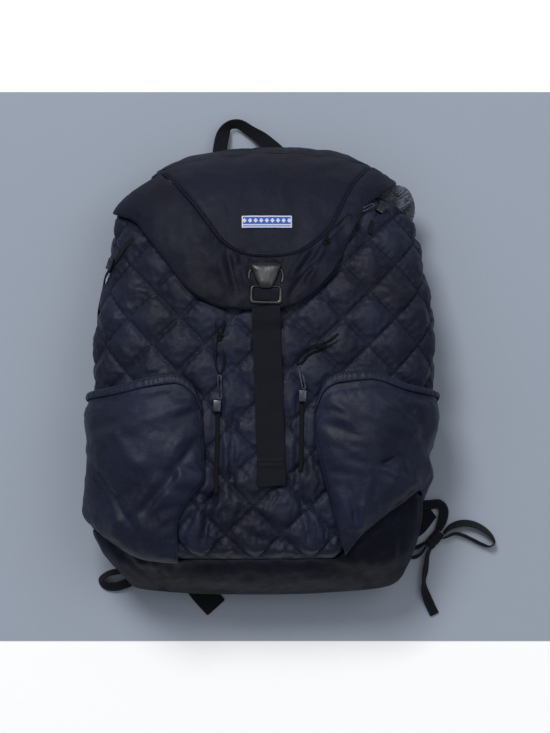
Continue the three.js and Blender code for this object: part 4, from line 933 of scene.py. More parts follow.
# Base panel
BASE_FOLDS = [
    (-101, -202, -105, -228, 2.6, -2.6), (98, -188, 111, -226, 2.6, -2.6), (138, -160, 139, -224, 2.6, -3.2),
    (119, -178, 135, -210, 3.2, -2.2), (96, -186, 138, -161, 2.6, -2.4), (104, -178, 132, -164, 4, 1.8),
    (-90, -201, 90, -200, 4.5, -3.0), (-60, -212, 60, -214, 6, 1.6), (-158, -168, -118, -206, 4, -2.6),
    (-134, -170, -126, -214, 4, 1.8), (-95, -196, -112, -206, 3, -1.8), (-40, -206, -56, -224, 4, 1.2),
    (30, -204, 44, -224, 4, -1.2), (-146, -164, -140, -200, 3, -1.8),
]


def build_base():
    rows = 26
    i, j = np.meshgrid(np.arange(COLUMNS), np.arange(rows + 1))
    k = i / FINE - FRONT_COLUMNS - SIDE_COLUMNS
    seam_u, seam_y = body_spot(k, np.zeros_like(k))
    side = np.where(i < COLUMNS / 2, -1.0, 1.0)
    share = seam_u / half_round(seam_y, side)
    rise = j / rows
    y = LOWEST_Y + 0.4 + (seam_y - 1.2 - LOWEST_Y - 0.4) * (1 - np.cos(rise * math.pi / 2))
    u = share * half_round(y, side)
    x = form(u, y)[..., 0]
    tuck = 2.2 * np.exp(-(((1 - rise) / 0.12) ** 2))
    pull = ripple(u * 2.2, y, 34, 11) * 1.1 * smooth(rise, 0.05, 0.5)
    front = smooth(np.cos(share * math.pi), -0.2, 0.5)
    low = -QUILT_RELIEF * (1 - 0.7 * smooth(np.abs(x), 70, 90)) * rise ** 2
    crush = 0.6 * crumple(u, y * 1.3, 32, 13) * smooth(rise, 0.1, 0.5)
    beside = np.exp(-(((np.abs(share) - 0.46) / 0.12) ** 2)) * smooth(rise, 0.35, 0.95)
    low = low + (QUILT_RELIEF * 0.5 + np.where(share < 0, 2.5, 2.0)) * beside
    lift = low + 0.8 * rise + 0.7 * pull + crush - tuck * (1 - beside) + front * creases(x, y, BASE_FOLDS)
    points = above(u, y, lift)
    middle = (LEFT(-1.0) + RIGHT(-1.0)) / 2 * HALF_WIDTH
    points[0] = (middle, LOWEST_Y, BACK_LEVEL + WAIST(-1.0) * BAG_DEPTH)
    uv = np.stack([u * MM, (seam_y - y) * MM], -1)
    base = grid("base_cloth", points, BASE, uv, ring=True)
    hold = np.zeros(points.shape[:2])
    hold[:2] = hold[-1] = 1
    hold[:, np.abs(np.arange(COLUMNS) - COLUMNS / 2) > 0.36 * COLUMNS] = 1
    swell(base, hold.ravel(), pressure=2.0, grow=0.04, cap=4.0)
    ride(thicken(base, CLOTH), "base", "base_panel")


build_base()


# Pockets with their bindings
POCKET_FOLDS = {
    "left": [
        (-161, -75, -64, -30, 7, 3.2), (-64, -69, -118, -140, 5, -4), (-161, -95, -125, -154, 3.5, -3.4),
        (-150, -50, -85, -22, 6, 1.6), (-80, -90, -76, -165, 4.5, 3), (-150, -60, -100, -112, 7, 2.4),
        (-100, -104, -150, -162, 5, 2.4), (-66, -110, -92, -176, 3, -2.8), (-74, -56, -96, -100, 4, 2),
        (-128, -120, -150, -138, 4, -2), (-104, -136, -100, -184, 4, -2.2),
        (-118, -140, -116, -180, 3.5, 1.8),
    ],
    "right": [
        (132, -28, 170, -95, 6, -4.6), (112, -92, 132, -82, 3, -4.4), (132, -82, 140, -106, 3, -3.6),
        (112, -94, 140, -107, 3, 2.4), (82, -110, 92, -150, 3.5, -3), (72, -30, 100, -110, 7, 2.6),
        (150, -50, 120, -118, 6, 3.4), (95, -40, 135, -60, 6, 2), (146, -112, 116, -156, 3, -3.6),
        (150, -104, 128, -128, 5, 2.4), (66, -70, 76, -150, 3.5, 2), (104, -104, 96, -160, 4, 2.6),
        (90, -130, 92, -178, 3, -2.4), (158, -86, 168, -120, 4, 2.4), (116, -30, 150, -60, 5, 2.2),
    ],
}


def pocket_spot(pocket, out, rise):
    inner, top_edge, side = curve_through(pocket["inner"]), curve_through(pocket["top"]), pocket["side"]
    top = top_edge(out) * HALF_LENGTH
    foot = POCKET_FOOT * HALF_LENGTH
    inner_y = foot + (top_edge(np.zeros(1))[0] * HALF_LENGTH - foot) * rise
    inner_u = round_at(side * inner(rise) * HALF_WIDTH, inner_y)
    back_y = foot + (top - foot) * rise
    back_u = side * POCKET_BACK * half_round(back_y, float(side))
    u = inner_u + (back_u - inner_u) * out
    seam = base_seam(u / half_round(back_y, float(side))) * HALF_LENGTH + SEAM_GAP
    return u, seam + (top - seam) * rise


def pocket_bulge(pocket, out, rise):
    across = np.maximum(np.sin(math.pi * out ** POCKET_CREST), 0) ** POCKET_SWELL_ACROSS
    along = np.maximum(np.sin(math.pi * POCKET_MOUTH * rise), 0) ** POCKET_SWELL_ALONG
    dent = 0
    for o, r, wide, tall, depth in pocket["dents"]:
        dent = dent + depth * np.exp(-(((out - o) / wide) ** 2) - ((rise - r) / tall) ** 2)
    side = curve_through(pocket["side_lift"])(rise) * np.exp(-(((out - 0.75) / 0.2) ** 2))
    return np.maximum(POCKET_BULGE * across * along * (1 - dent) + side * smooth(across, 0.05, 0.5), 0)


def build_pocket(name, pocket):
    columns, rows = 84, 66
    share, rise = np.meshgrid(np.linspace(0, 1, columns + 1), np.linspace(0, 1, rows + 1))
    out = share if pocket["side"] > 0 else 1 - share
    u, y = pocket_spot(pocket, out, rise)
    swollen = pocket_bulge(pocket, out, rise)
    x = form(u, y)[..., 0]
    free = np.minimum(smooth(out, 0, 0.12), smooth(1 - out, 0, 0.1)) * smooth(rise, 0, 0.1)
    folds = creases(x, y, POCKET_FOLDS[name]) * free
    soft = (1.1 * ripple(u + 0.5 * y, y * 1.4, 80, 21 + pocket["side"]) + 0.9 * crumple(u, y, 62, 33, 2)
            + 0.25 * crumple(u, y, 20, 31)) * free
    lift = LAYER_GAP + CLOTH + swollen + folds + soft * (1 - 0.8 * smooth(rise, 0.86, 1))
    points = above(u, y, np.maximum(lift, LAYER_GAP))
    edge = np.minimum(np.minimum(out, 1 - out) * 170, rise * 160) * MM
    uv = np.stack([(u + y) * MM, edge], -1)
    cloth = grid("pocket_" + name + "_cloth", points, POCKET, uv)
    hold = np.where((rise < 0.02) | (rise > 0.9) | (share < 0.01) | (share > 0.99), 1.0, 0.0)
    swell(cloth, hold.ravel(), pressure=1.5, grow=0.035, cap=4.0, bending=0.8)
    ride(thicken(cloth, CLOTH), "pocket", "pocket_" + name)


def build_binding(name, pocket):
    """Binding folded over the pocket's top edge."""
    columns, rows = 120, 8
    share, around = np.meshgrid(np.linspace(0, 1, columns + 1), np.linspace(0, 1, rows + 1))
    out = share if pocket["side"] > 0 else 1 - share
    width = BINDING_WIDTH / (POCKET_HEIGHT * HALF_LENGTH)
    rise = 1 - (1 - around) * width
    u, y = pocket_spot(pocket, out, rise)
    puff = 1.3 * np.sin(math.pi * around) ** 0.6
    gather = 0.35 * np.sin(u * 1.1 + 2 * np.sin(u * 0.23)) * np.sin(math.pi * around)
    lift = 2 * LAYER_GAP + pocket_bulge(pocket, out, rise) + CLOTH + 1.2 + puff + gather
    points = above(u, y, lift)
    uv = np.stack([u * MM, (1 - around) * BINDING_WIDTH * MM], -1)
    binding = grid("pocket_binding_" + name + "_cloth", points, POCKET, uv)
    ride(thicken(binding, CLOTH), "pocket", "pocket_binding_" + name)


for pocket_name, pocket in POCKETS.items():
    build_pocket(pocket_name, pocket)
    build_binding(pocket_name, pocket)


# Lid
def along_rows(values, places):
    """Catmull-Rom through the rows of a table, at places counted in rows."""
    values = np.asarray(values, float)
    last = len(values) - 1
    i = np.clip(np.floor(places).astype(int), 0, last - 1)
    t = places - i
    p0, p1 = values[np.maximum(i - 1, 0)], values[i]
    p2, p3 = values[i + 1], values[np.minimum(i + 2, last)]
    square, cube = 2 * p0 - 5 * p1 + 4 * p2 - p3, 3 * p1 - p0 - 3 * p2 + p3
    return 0.5 * (2 * p1 + (p2 - p0) * t + square * t ** 2 + cube * t ** 3)


LID_FOLDS = [
    (57, 128, 34, 98, 2.6, -3.4), (52, 108, 27, 76, 2.4, -3.2), (46, 122, 26, 92, 4, 2.4),
    (62, 124, 44, 92, 4, 2.0), (-30, 116, -14, 84, 4, 1.8), (-36, 120, -26, 78, 3, -2.0),
    (-44, 118, -34, 84, 4, 1.4), (-20, 122, -24, 96, 3, -1.6), (-14, 113.5, 20, 112, 2.6, -2.8),
    (-8, 117, 16, 117, 3, 1.6), (64, 120, 52, 102, 3, -1.6),
    (-70, 140, -40, 100, 7, 1.4), (84, 130, 96, 150, 5, 1.6), (70, 110, 92, 132, 6, -1.8),
    (-96, 190, -50, 200, 8, 1.2), (60, 196, 96, 186, 8, 1.2),
]


# How far the top panel runs under its seam, and where the label lies on the centre panel
TOP_LAP = 5
LABEL_X, LABEL_Y, LABEL_TURN = 4.0, 150.5, -0.045


def build_surround():
    last = len(LID_EDGES) - 1
    steps, rows = 112, 22
    place, t = np.meshgrid(np.linspace(0, last, steps + 1), np.linspace(0, 1, rows + 1))
    seam_u, seam_y = along_rows(SEAM_U, place), along_rows(SEAM_Y, place)
    hem_u, hem_y = along_rows(HEM_U, place), along_rows(HEM_Y, place)
    width = np.hypot(seam_u - hem_u, seam_y - hem_y)
    share = t * (1 - SEAM_GAP / width)
    u, y = hem_u + (seam_u - hem_u) * share, hem_y + (seam_y - hem_y) * share
    x = form(u, y)[..., 0]
    to_hem, to_seam = share * width, (1 - share) * width
    pad = 1.1 * smooth(to_seam, 0, 3.5) + 0.4 * smooth(to_hem, 0, 3)
    folds = 1.5 * creases(x, y, LID_FOLDS) * smooth(to_seam, 0, 6)
    soft = 0.6 * ripple(u, y, 60, 41) + 0.55 * crumple(u * 1.3, y * 0.9, 40, 43) + 0.2 * crumple(u, y, 16, 45)
    hem_wave = 0.9 * np.sin(place * 3.3) * (1 - smooth(to_hem, 0, 14))
    lift = LID_LIFT + LID_CLOTH - 0.8 + pad + np.maximum(folds + soft + hem_wave, -3.0)
    points = above(u, y, lift)
    uv = np.stack([place / last * 0.5, np.minimum(to_hem, to_seam + 1.2) * MM], -1)
    surround = grid("lid_surround_cloth", points, LID, uv)
    hold = np.zeros(points.shape[:2])
    hold[0] = hold[-1] = 1
    hold[:, 0] = hold[:, -1] = 1
    swell(surround, hold.ravel(), pressure=1.5, grow=0.02, cap=2.5, bending=0.8)
    ride(thicken(surround, LID_CLOTH), "lid", "lid_surround")


def build_centre():
    half = (len(LID_EDGES) - 1) / 2
    across, rise = np.meshgrid(np.linspace(0, 1, 85), np.linspace(0, 1, 57))
    j = rise * half
    left_u, left_y = along_rows(SEAM_U, half - j), along_rows(SEAM_Y, half - j)
    right_u, right_y = along_rows(SEAM_U, half + j), along_rows(SEAM_Y, half + j)
    u, y = left_u + (right_u - left_u) * across, left_y + (right_y - left_y) * across
    y = y + 4 * across * (1 - across) * HALF_LENGTH * LID_TOP_RISE * rise ** 3 + 1.2 * rise ** 8
    x = form(u, y)[..., 0]
    wide = np.abs(right_u - left_u)
    to_seam = np.minimum(across, 1 - across) * wide * 0.8
    pad = 1.3 * smooth(to_seam, 0, 4)
    soft = 0.8 * ripple(u, y, 75, 51) + 0.4 * crumple(u * 0.8, y * 1.2, 46, 53) + 0.15 * crumple(u, y, 18, 55)
    level = smooth(np.hypot((x - LABEL_X) / 34, (y - LABEL_Y) / 16), 0.75, 1.5)
    folds = (soft + creases(x, y, LID_FOLDS)) * level
    lift = LID_LIFT + LID_CLOTH - 0.8 + pad * level + 0.6 * (1 - level) + folds
    points = above(u, y, lift)
    uv = np.stack([(u + 0.3 * y) * MM, to_seam * MM], -1)
    centre = grid("lid_centre_cloth", points, LID, uv)
    ride(thicken(centre, LID_CLOTH), "lid", "lid_centre")


def build_top():
    place, t = np.meshgrid(np.linspace(-1, 1, 161), np.linspace(0, 1, 29))
    around = place * LID_BACK_REACH
    side = side_of(around)
    ease = np.sin(t * math.pi / 2)
    low = lid_top_seam(around) * HALF_LENGTH - TOP_LAP
    high = min(LID_APEX_ALONG * HALF_LENGTH, LONGEST_Y)
    y = low + (high - low) * ease
    u = around * half_round(y, side)
    x = form(u, y)[..., 0]
    soft = 0.9 * ripple(u * 1.6, y, 40, 61) * smooth(t, 0.05, 0.4) * (1 - smooth(t, 0.85, 1))
    lift = LID_LIFT + LID_CLOTH - 1.6 + 1.9 * smooth(y - low, 0, 2 * TOP_LAP) + soft
    points = above(u, y, lift)
    apex = (LID_APEX_ACROSS * HALF_WIDTH, LONGEST_Y + ON_LID - LAYER_GAP, BACK_LEVEL + WAIST(1.0) * BAG_DEPTH)
    points[-1] = apex
    uv = np.stack([u * MM, (y - low) * MM + 0.001], -1)
    top = grid("lid_top_cloth", points, LID, uv)
    ride(thicken(top, LID_CLOTH), "lid", "lid_top")


build_surround()
build_centre()
build_top()


# Piping cord sewn into the lid's curved seam and along the top edge
def build_piping():
    place = np.linspace(0, len(LID_EDGES) - 1, 180)
    u, y = along_rows(SEAM_U, place), along_rows(SEAM_Y, place)
    path = above(u, y, np.full(len(u), LID_LIFT + LID_CLOTH - 0.2))
    ride(tube("lid_seam_piping", path, 1.0, LID, sides=8), "lid")
    around = np.linspace(-LID_BACK_REACH, LID_BACK_REACH, 200)
    side = side_of(around)
    y = lid_top_seam(around) * HALF_LENGTH
    path = above(around * half_round(y, side), y, np.full(len(y), LID_LIFT + LID_CLOTH - 0.9))
    ride(tube("lid_top_piping", path, 0.9, LID, sides=8), "lid")


build_piping()


# Mouth liner
def build_liner():
    inside = -QUILT_RELIEF - BODY_WALL - 3 * LAYER_GAP
    c = np.linspace(-FRONT_COLUMNS - SIDE_COLUMNS, FRONT_COLUMNS + SIDE_COLUMNS, 520, endpoint=False)
    profile = [(0, 0, -0.7), (0, 0, -0.3), (0, 0, 0), (0.25, 0.02, 0), (0.5, 0.12, 0), (0.7, 0.42, 0),
               (0.86, 0.72, 0), (1, 1, 0)]
    rows = []
    for rise, out, drop in profile:
        u, y = body_spot(c, np.full_like(c, QUILT_ROWS + drop))
        side = side_of(c)
        around = u / half_round(y, side)
        flare = smooth(around, 0.4, 0.47) * (1 - smooth(around, 0.5, 0.58))
        crinkle = flare * (1.8 * ripple(u * 1.7, y + 40 * rise, 15, 71) + 0.8 * ripple(u, 30 * rise, 6, 73))
        stand = rise * (LINER_STANDOUT * flare + 2 * LAYER_GAP) + 0.6 * crinkle * rise
        lift = inside + (LINER_FLARE - inside) * out * flare + crinkle * rise
        rows.append(above(u, y + stand, lift))
    points = np.array(rows)
    around, up = c * QUILT_ACROSS * MM, np.arange(len(profile)) * 3.0 * MM
    uv = np.stack(np.broadcast_arrays(around[None, :], up[:, None]), -1)
    liner = grid("mouth_liner_cloth", points, LINER, uv, ring=True)
    ride(thicken(liner, CLOTH), "liner", "mouth_liner")


build_liner()


# The liner's gathered edge where it stands out beside the lid: inner x, y, z and outer x, y, z
ARCH = [(103, 174, 70, 112, 181, 74), (108, 172, 64, 124, 190.5, 68), (115, 170, 58, 138, 193, 60),
        (124, 168, 53, 149, 189, 53), (133, 164, 50, 156, 178, 49), (141, 159, 49, 158.5, 166, 47),
        (147, 153, 49, 156, 154, 48)]


def build_arch():
    table = np.array(ARCH, float)
    inner, outer = catmull(table[:, :3], 16), catmull(table[:, 3:], 16)
    turn = np.linspace(0, 2 * math.pi, 16, endpoint=False)
    rings = []
    for n, (a, b) in enumerate(zip(inner, outer)):
        share = n / (len(inner) - 1)
        reach = np.linalg.norm(b - a)
        out = (b - a) / reach
        up = np.array([-out[0] * out[2], -out[1] * out[2], 1 - out[2] ** 2])
        up /= np.linalg.norm(up)
        pleat = 0.7 * np.sin(n * 0.9 + 2.0 * math.sin(n * 0.23)) + 0.5 * np.sin(n * 2.1 + 1)
        wave = pleat * np.sin(turn * 2 + n * 0.35) * 0.8
        size = 0.35 + 0.65 * math.sin(math.pi * min(max(share, 0.03), 0.97)) ** 0.5
        rings.append((a + b) / 2 + out * ((reach / 2 * size + 0.5 * wave) * np.cos(turn))[:, None]
                     + up * ((3.4 * size + wave) * np.sin(turn) + pleat * 0.5)[:, None])
    loft("mouth_liner_edge", rings, LINER, "liner")


def flat_path(way, steps):
    """Curve through places in u and y."""
    return catmull(np.column_stack([way, np.zeros(len(way))]), steps)[:, :2]


def band(name, way, width, lift, thickness, material, slot, steps, across=8):
    """Webbing laid along the bag. lift is a number or depends on the share of its length."""
    path = flat_path(way, 30)
    lengths = run_along(path)
    at = np.linspace(0, lengths[-1], steps + 1)
    centre = np.column_stack([np.interp(at, lengths, path[:, 0]), np.interp(at, lengths, path[:, 1])])
    ahead = unit(np.gradient(centre, axis=0))
    side = np.column_stack([ahead[:, 1], -ahead[:, 0]])
    off = (np.arange(across + 1) / across - 0.5) * width
    u = centre[:, 0, None] + side[:, 0, None] * off
    y = centre[:, 1, None] + side[:, 1, None] * off
    share = np.broadcast_to((at / lengths[-1])[:, None], u.shape)
    height = lift(share) if callable(lift) else np.full(u.shape, float(lift))
    points = above(u, y, height + thickness)
    edge = np.broadcast_to((width / 2 - np.abs(off)) * MM, u.shape)
    uv = np.stack([np.broadcast_to((at * MM)[:, None], u.shape), edge], -1)
    made = grid(name + "_web", points, material, uv)
    ride(thicken(made, thickness), slot, name)


RIBBON_STEPS = 12


def ribbon(name, stations, width, material):
    """Flat webbing along free stations: x, y, z, face x, y, z, share of the width."""
    table = np.array([tuple(row) + (1.0,) * (7 - len(row)) for row in stations], float)
    path, face, wide = (catmull(part, RIBBON_STEPS) for part in (table[:, :3], table[:, 3:6], table[:, 6:7]))
    ahead = unit(np.gradient(path, axis=0))
    side = unit(np.cross(ahead, face))
    face = np.cross(side, ahead)
    off = np.linspace(-1, 1, 7)
    reach = (wide * width / 2)[:, :, None]
    top = path[:, None] + face[:, None] * (WEBBING_THICKNESS / 2)
    points = top + side[:, None] * reach * off[None, :, None]
    edge = np.broadcast_to((1 - np.abs(off)) * width / 2 * MM, points.shape[:2])
    uv = np.stack([np.broadcast_to((run_along(path) * MM)[:, None], edge.shape), edge], -1)
    made = grid(name + "_web", points, material, uv)
    ride(thicken(made, WEBBING_THICKNESS), "webbing", name)


# Fastener and its strap
BUCKLE_X = 3.1
FRAME_Y = 76.8
STRAP_TOP_Y = FRAME_Y - FRAME_LENGTH / 2 - 2 * LAYER_GAP
SHELL_Y, SHELL_LENGTH = 95.4, 26.4
FASTENER_LIFT = ON_LID + 0.4


def front_way(points):
    points = np.asarray(points, float)
    return np.column_stack([round_at(points[:, 0], points[:, 1]), points[:, 1]])


def strap_lift(share):
    wave = 0.25 * np.sin(share * 40)
    return ON_LID + (LAYER_GAP - ON_LID) * smooth(share, 0.06, 0.14) + wave


STRAP_WAY = front_way([(BUCKLE_X, STRAP_TOP_Y), (4.5, 20), (7, -50), (9, -115)])
band("centre_strap", STRAP_WAY, STRAP_WIDTH, strap_lift, WEBBING_THICKNESS, WEBBING, "webbing", 110)


def frame_at(u, y, lift, turn=0.0):
    """Axes round the bag, up it and out of it, at a lift above the form."""
    u, y = float(u), float(y)
    out = normal(u, y)
    along = form(u, min(y + NORMAL_STEP, LONGEST_Y)) - form(u, y - NORMAL_STEP)
    across = np.cross(along, out)
    across /= np.linalg.norm(across)
    up = np.cross(out, across)
    c, s = math.cos(turn), math.sin(turn)
    axes = np.array([c * across + s * up, -s * across + c * up, out])
    return form(u, y) + out * lift, axes


def bar_tack(name, x0, x1, y, lift, count):
    """A row of close slanted stitches across webbing."""
    verts, faces = [], []
    for n in range(count):
        x = x0 + (x1 - x0) * n / (count - 1)
        origin, axes = frame_at(round_at(x, y), y, lift)
        slant = 0.5 if n % 2 else -0.5
        ring = []
        for t, high in ((-1, 0.0), (-0.6, 0.42), (0.6, 0.42), (1, 0.0)):
            for w in (-0.42, 0.42):
                ring.append(origin + axes[0] * (w + slant * t) + axes[1] * 2.4 * t + axes[2] * high)
        start = len(verts)
        verts += ring
        faces += [(start + a, start + a + 1, start + a + 3, start + a + 2) for a in (0, 2, 4)]
    ride(mesh_of(name, verts, faces, TIE), "webbing")


for n, y in enumerate((-88.5, -93.5)):
    bar_tack(f"strap_bar_tack_{n}", -5 + 0.2 * n, 20 + 0.2 * n, y, LAYER_GAP + WEBBING_THICKNESS + 0.3, 22)
bar_tack("strap_top_tack", -9, 16, 61, ON_LID + WEBBING_THICKNESS - 1, 20)


# Rigid pieces: a finer copy of each faceted solid, with rounded edges
def refine(node, material, slot, bevel):
    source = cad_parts[node]
    mesh = source.data.copy()
    mesh.transform(source.matrix_world)
    edit = bmesh.new()
    edit.from_mesh(mesh)
    bmesh.ops.remove_doubles(edit, verts=edit.verts, dist=1e-5)
    bmesh.ops.dissolve_limit(edit, angle_limit=math.radians(2), verts=edit.verts, edges=edit.edges)
    edit.to_mesh(mesh)
    edit.free()
    mesh.materials.clear()
    mesh.materials.append(material)
    made = link(node + "_fine", mesh)
    round_off = made.modifiers.new("Edges", "BEVEL")
    round_off.width = bevel * MM
    round_off.segments = 3
    round_off.limit_method = "ANGLE"
    round_off.angle_limit = math.radians(35)
    ride(apply(made), slot, node)


for side in ("left", "right"):
    refine("adjuster_" + side, GLOSS, "plastic", 0.6)
for node in ("zip_slider_left", "zip_slider_right", "side_zip_slider_left", "side_zip_slider_right"):
    refine(node, METAL, "metal", 0.9)
for node in CORD_LINKS.values():
    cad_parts[node].data.materials.clear()
    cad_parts[node].data.materials.append(METAL)


def loft(name, rings, material, slot, *nodes, levels=1):
    """Closed form through rings of points, all of one count, smoothed."""
    count = len(rings[0])
    verts = np.concatenate([np.asarray(r, float) for r in rings])
    faces = grid_faces(len(rings) - 1, count, ring=True)
    faces += [tuple(range(count))[::-1], tuple(range((len(rings) - 1) * count, len(rings) * count))]
    made = mesh_of(name, verts, faces, material, np.zeros((len(verts), 2)))
    return ride(soften(made, levels), slot, *nodes)


def placed(origin, axes, across, up, out):
    return origin + across[..., None] * axes[0] + up[..., None] * axes[1] + out[..., None] * axes[2]


def outline_ring(points, inset, height, origin, axes):
    points = np.asarray(points, float)
    centre = points.mean(axis=0)
    away = points - centre
    reach = np.linalg.norm(away, axis=1)[:, None]
    moved = centre + away * (1 - inset / reach)
    return origin + moved[:, :1] * axes[0] + moved[:, 1:2] * axes[1] + axes[2] * height


def build_shell():
    origin, axes = frame_at(round_at(BUCKLE_X, SHELL_Y), SHELL_Y, FASTENER_LIFT)
    top, tip, wide = SHELL_LENGTH / 2, BUCKLE_TIP_WIDTH / 2, BUCKLE_WIDTH / 2
    half = [(0, -top), (tip - 2.4, -top + 0.1), (tip - 0.4, -top + 1.0), (tip + 0.9, -top + 3.4),
            (tip + 4.4, -top + 11), (wide - 2.6, top - 7.5), (wide - 0.9, top - 4.2), (wide - 0.9, top - 1.8),
            (wide - 3.0, top - 0.5), (wide / 2, top + 0.1), (0, top - 0.1)]
    outline = half + [(-x, y) for x, y in half[-2:0:-1]]
    rings = [outline_ring(outline, inset, height, origin, axes) for inset, height in (
        (0.8, 0.3), (0, 1.0), (-0.1, 2.6), (0.3, 3.8), (1.2, 4.6), (3.4, 5.4), (6.0, 5.9), (8.6, 6.1))]
    loft("buckle_shell_fine", rings, GLOSS, "plastic", "buckle_shell", levels=2)
    for side in (-1, 1):
        path = [(side * (wide - 1.6), top - 6.5, 2.0), (side * (wide + 0.2), top - 10, 1.9),
                (side * (wide + 0.5), top - 15, 1.8), (side * (wide - 0.6), top - 20.5, 1.8)]
        path = [origin + x * axes[0] + y * axes[1] + z * axes[2] for x, y, z in path]
        ride(tube(f"buckle_arm_{'left' if side < 0 else 'right'}", catmull(path, 8), 1.4, GLOSS), "plastic")


def build_frame():
    origin, axes = frame_at(round_at(BUCKLE_X, FRAME_Y), FRAME_Y, FASTENER_LIFT)
    w, h, r = BUCKLE_WIDTH / 2 - FRAME_BAR / 2, FRAME_LENGTH / 2 - FRAME_BAR / 2, 3.2
    corners = [(w - r, h - r, 0), (-w + r, h - r, 90), (-w + r, -h + r, 180), (w - r, -h + r, 270)]
    loop = []
    for cx, cy, start in corners:
        for a in np.radians(np.linspace(start, start + 90, 6)):
            loop.append((cx + r * math.cos(a), cy + r * math.sin(a)))
    loop = np.array(loop)
    count = len(loop)
    sides = 10
    rings = []
    for turn in np.linspace(0, 2 * math.pi, sides, endpoint=False):
        away = loop / np.linalg.norm(loop, axis=1)[:, None]
        wide_bar = np.where(loop[:, 1:2] < -h + r, 1.5 + 0.5 * (1 - (loop[:, :1] / w) ** 2), 1.0)
        spot = loop + away * math.cos(turn) * FRAME_BAR / 2 * wide_bar
        high = FRAME_BAR / 2 * (1 + math.sin(turn)) + 0.2
        rings.append(origin + spot[:, :1] * axes[0] + spot[:, 1:2] * axes[1] + axes[2] * high)
    verts = np.concatenate(rings)
    faces = []
    for a in range(sides):
        b = (a + 1) % sides
        faces += [(a * count + i, a * count + (i + 1) % count, b * count + (i + 1) % count, b * count + i)
                  for i in range(count)]
    ride(soften(mesh_of("buckle_frame_fine", verts, faces, GLOSS)), "plastic", "buckle_frame")

    t, s = np.meshgrid(np.linspace(-1, 1, 11), np.linspace(-1, 1, 13))
    half_w, half_l = (BUCKLE_WIDTH - 2 * FRAME_BAR) / 2 - 0.4, FRAME_LENGTH / 2 - FRAME_BAR - 0.2
    arch = 1.6 + 1.2 * np.cos(s * math.pi / 2)
    points = placed(origin, axes, t * half_w, s * half_l, arch)
    uv = np.stack([(s + 1) * half_l * MM, (1 - np.abs(t)) * half_w * MM], -1)
    web = grid("buckle_web_cloth", points, WEBBING, uv)
    ride(thicken(web, WEBBING_THICKNESS), "webbing", "buckle_web")


build_arch()
build_shell()
build_frame()


# Woven label
def build_label():
    origin, axes = frame_at(round_at(LABEL_X, LABEL_Y), LABEL_Y, FASTENER_LIFT, LABEL_TURN)
    t, s = np.meshgrid(np.linspace(-1, 1, 41), np.linspace(-1, 1, 13))
    bow = 0.35 * np.cos(t * math.pi / 2) + 0.12 * np.sin(t * 9) * (s ** 2)
    points = placed(origin, axes, t * LABEL_WIDTH / 2, s * LABEL_HEIGHT / 2, bow + LABEL_THICKNESS / 2)
    label = grid("lid_label_cloth", points, LABEL, np.stack([(t + 1) / 2, (s + 1) / 2], -1))
    ride(thicken(label, LABEL_THICKNESS), "label", "lid_label")


build_label()


# Zips: tape with two rows of teeth. The left side zip runs on round the side, in u and y
SIDE_ZIP_REST = [(-208, 84), (-232, 52)]
ZIP_WIDTH, ZIP_THICKNESS, TOOTH_PITCH = 4.8, 1.3, 1.5


def build_zip(name, way, sink):
    lift = LAYER_GAP - sink
    band(name, way, ZIP_WIDTH, lift, ZIP_THICKNESS, ZIP, "zip", 60, 4)
    path = flat_path(way, 40)
    lengths = run_along(path)
    verts, faces = [], []
    for n, at in enumerate(np.arange(1.5, lengths[-1] - 1, TOOTH_PITCH)):
        u, y = np.interp(at, lengths, path[:, 0]), np.interp(at, lengths, path[:, 1])
        u2, y2 = np.interp(at + 1, lengths, path[:, 0]), np.interp(at + 1, lengths, path[:, 1])
        turn = math.atan2(y2 - y, u2 - u) - math.pi / 2
        origin, axes = frame_at(u, y, lift + ZIP_THICKNESS, turn)
        side = 0.5 if n % 2 else -0.5
        start = len(verts)
        for z, shrink in ((0, 1.0), (0.45, 0.6)):
            for dx, dy in ((-1, -1), (1, -1), (1, 1), (-1, 1)):
                corner = axes[0] * (side + dx * 0.95 * shrink) + axes[1] * dy * 0.5 * shrink
                verts.append(origin + corner + axes[2] * z)
        faces.append(tuple(start + 4 + k for k in range(4)))
        faces += [(start + k, start + (k + 1) % 4, start + 4 + (k + 1) % 4, start + 4 + k) for k in range(4)]
    ride(mesh_of(name + "_teeth", verts, faces, TEETH), "zip")


for zip_name, (points, sink) in ZIPS.items():
    way = front_way(points)
    if zip_name == "side_zip_left":
        way = np.vstack([way, SIDE_ZIP_REST])
    build_zip(zip_name, way, sink)

# Free webbing. The lower webs lie on the floor: x, y and share of the width
PANEL_TOP_Y = 217.35
LOWER_WEB_Z = 1.3
UP_FACE = (0, 0, 1)
LOWER_WEBS = {
    "lower_web_left": [(-88, -95), (-88, -103), (-92, -150), (-84, -200), (-66, -228), (-49, -247)],
    "lower_web_right": [(88, -95), (88, -103), (104, -136), (128, -160), (154, -163), (177, -146, 0.6)],
}
for name, places in LOWER_WEBS.items():
    stations = [(x, y, LOWER_WEB_Z) + UP_FACE + tuple(share) for x, y, *share in places]
    ribbon(name, stations, HARNESS_WEB_WIDTH, WEBBING)

# The haul loop and the ties: x, y, z, face x, y, z, share of the width
HAUL_STATIONS = [
    (-46, PANEL_TOP_Y + SEAM_GAP, 15, 0, 0, 1), (-46, PANEL_TOP_Y + 6, 14.6, 0, 0, 1),
    (-45, 233, 13, 0, 0, 1), (-42, 247, 11, 0.3, -0.2, 1), (-36, 257, 10, 0.5, -0.9, 0.7),
    (-26, 258.5, 10, 0, -1, 0.8),
    (-13, 251, 10, -0.4, -0.8, 1), (2, 240.5, 12, 0, -0.2, 1), (20, PANEL_TOP_Y + 6, 14.6, 0, 0, 1),
    (20, PANEL_TOP_Y + SEAM_GAP, 15, 0, 0, 1)]
ribbon("haul_loop", HAUL_STATIONS, HAUL_WIDTH, WEBBING)

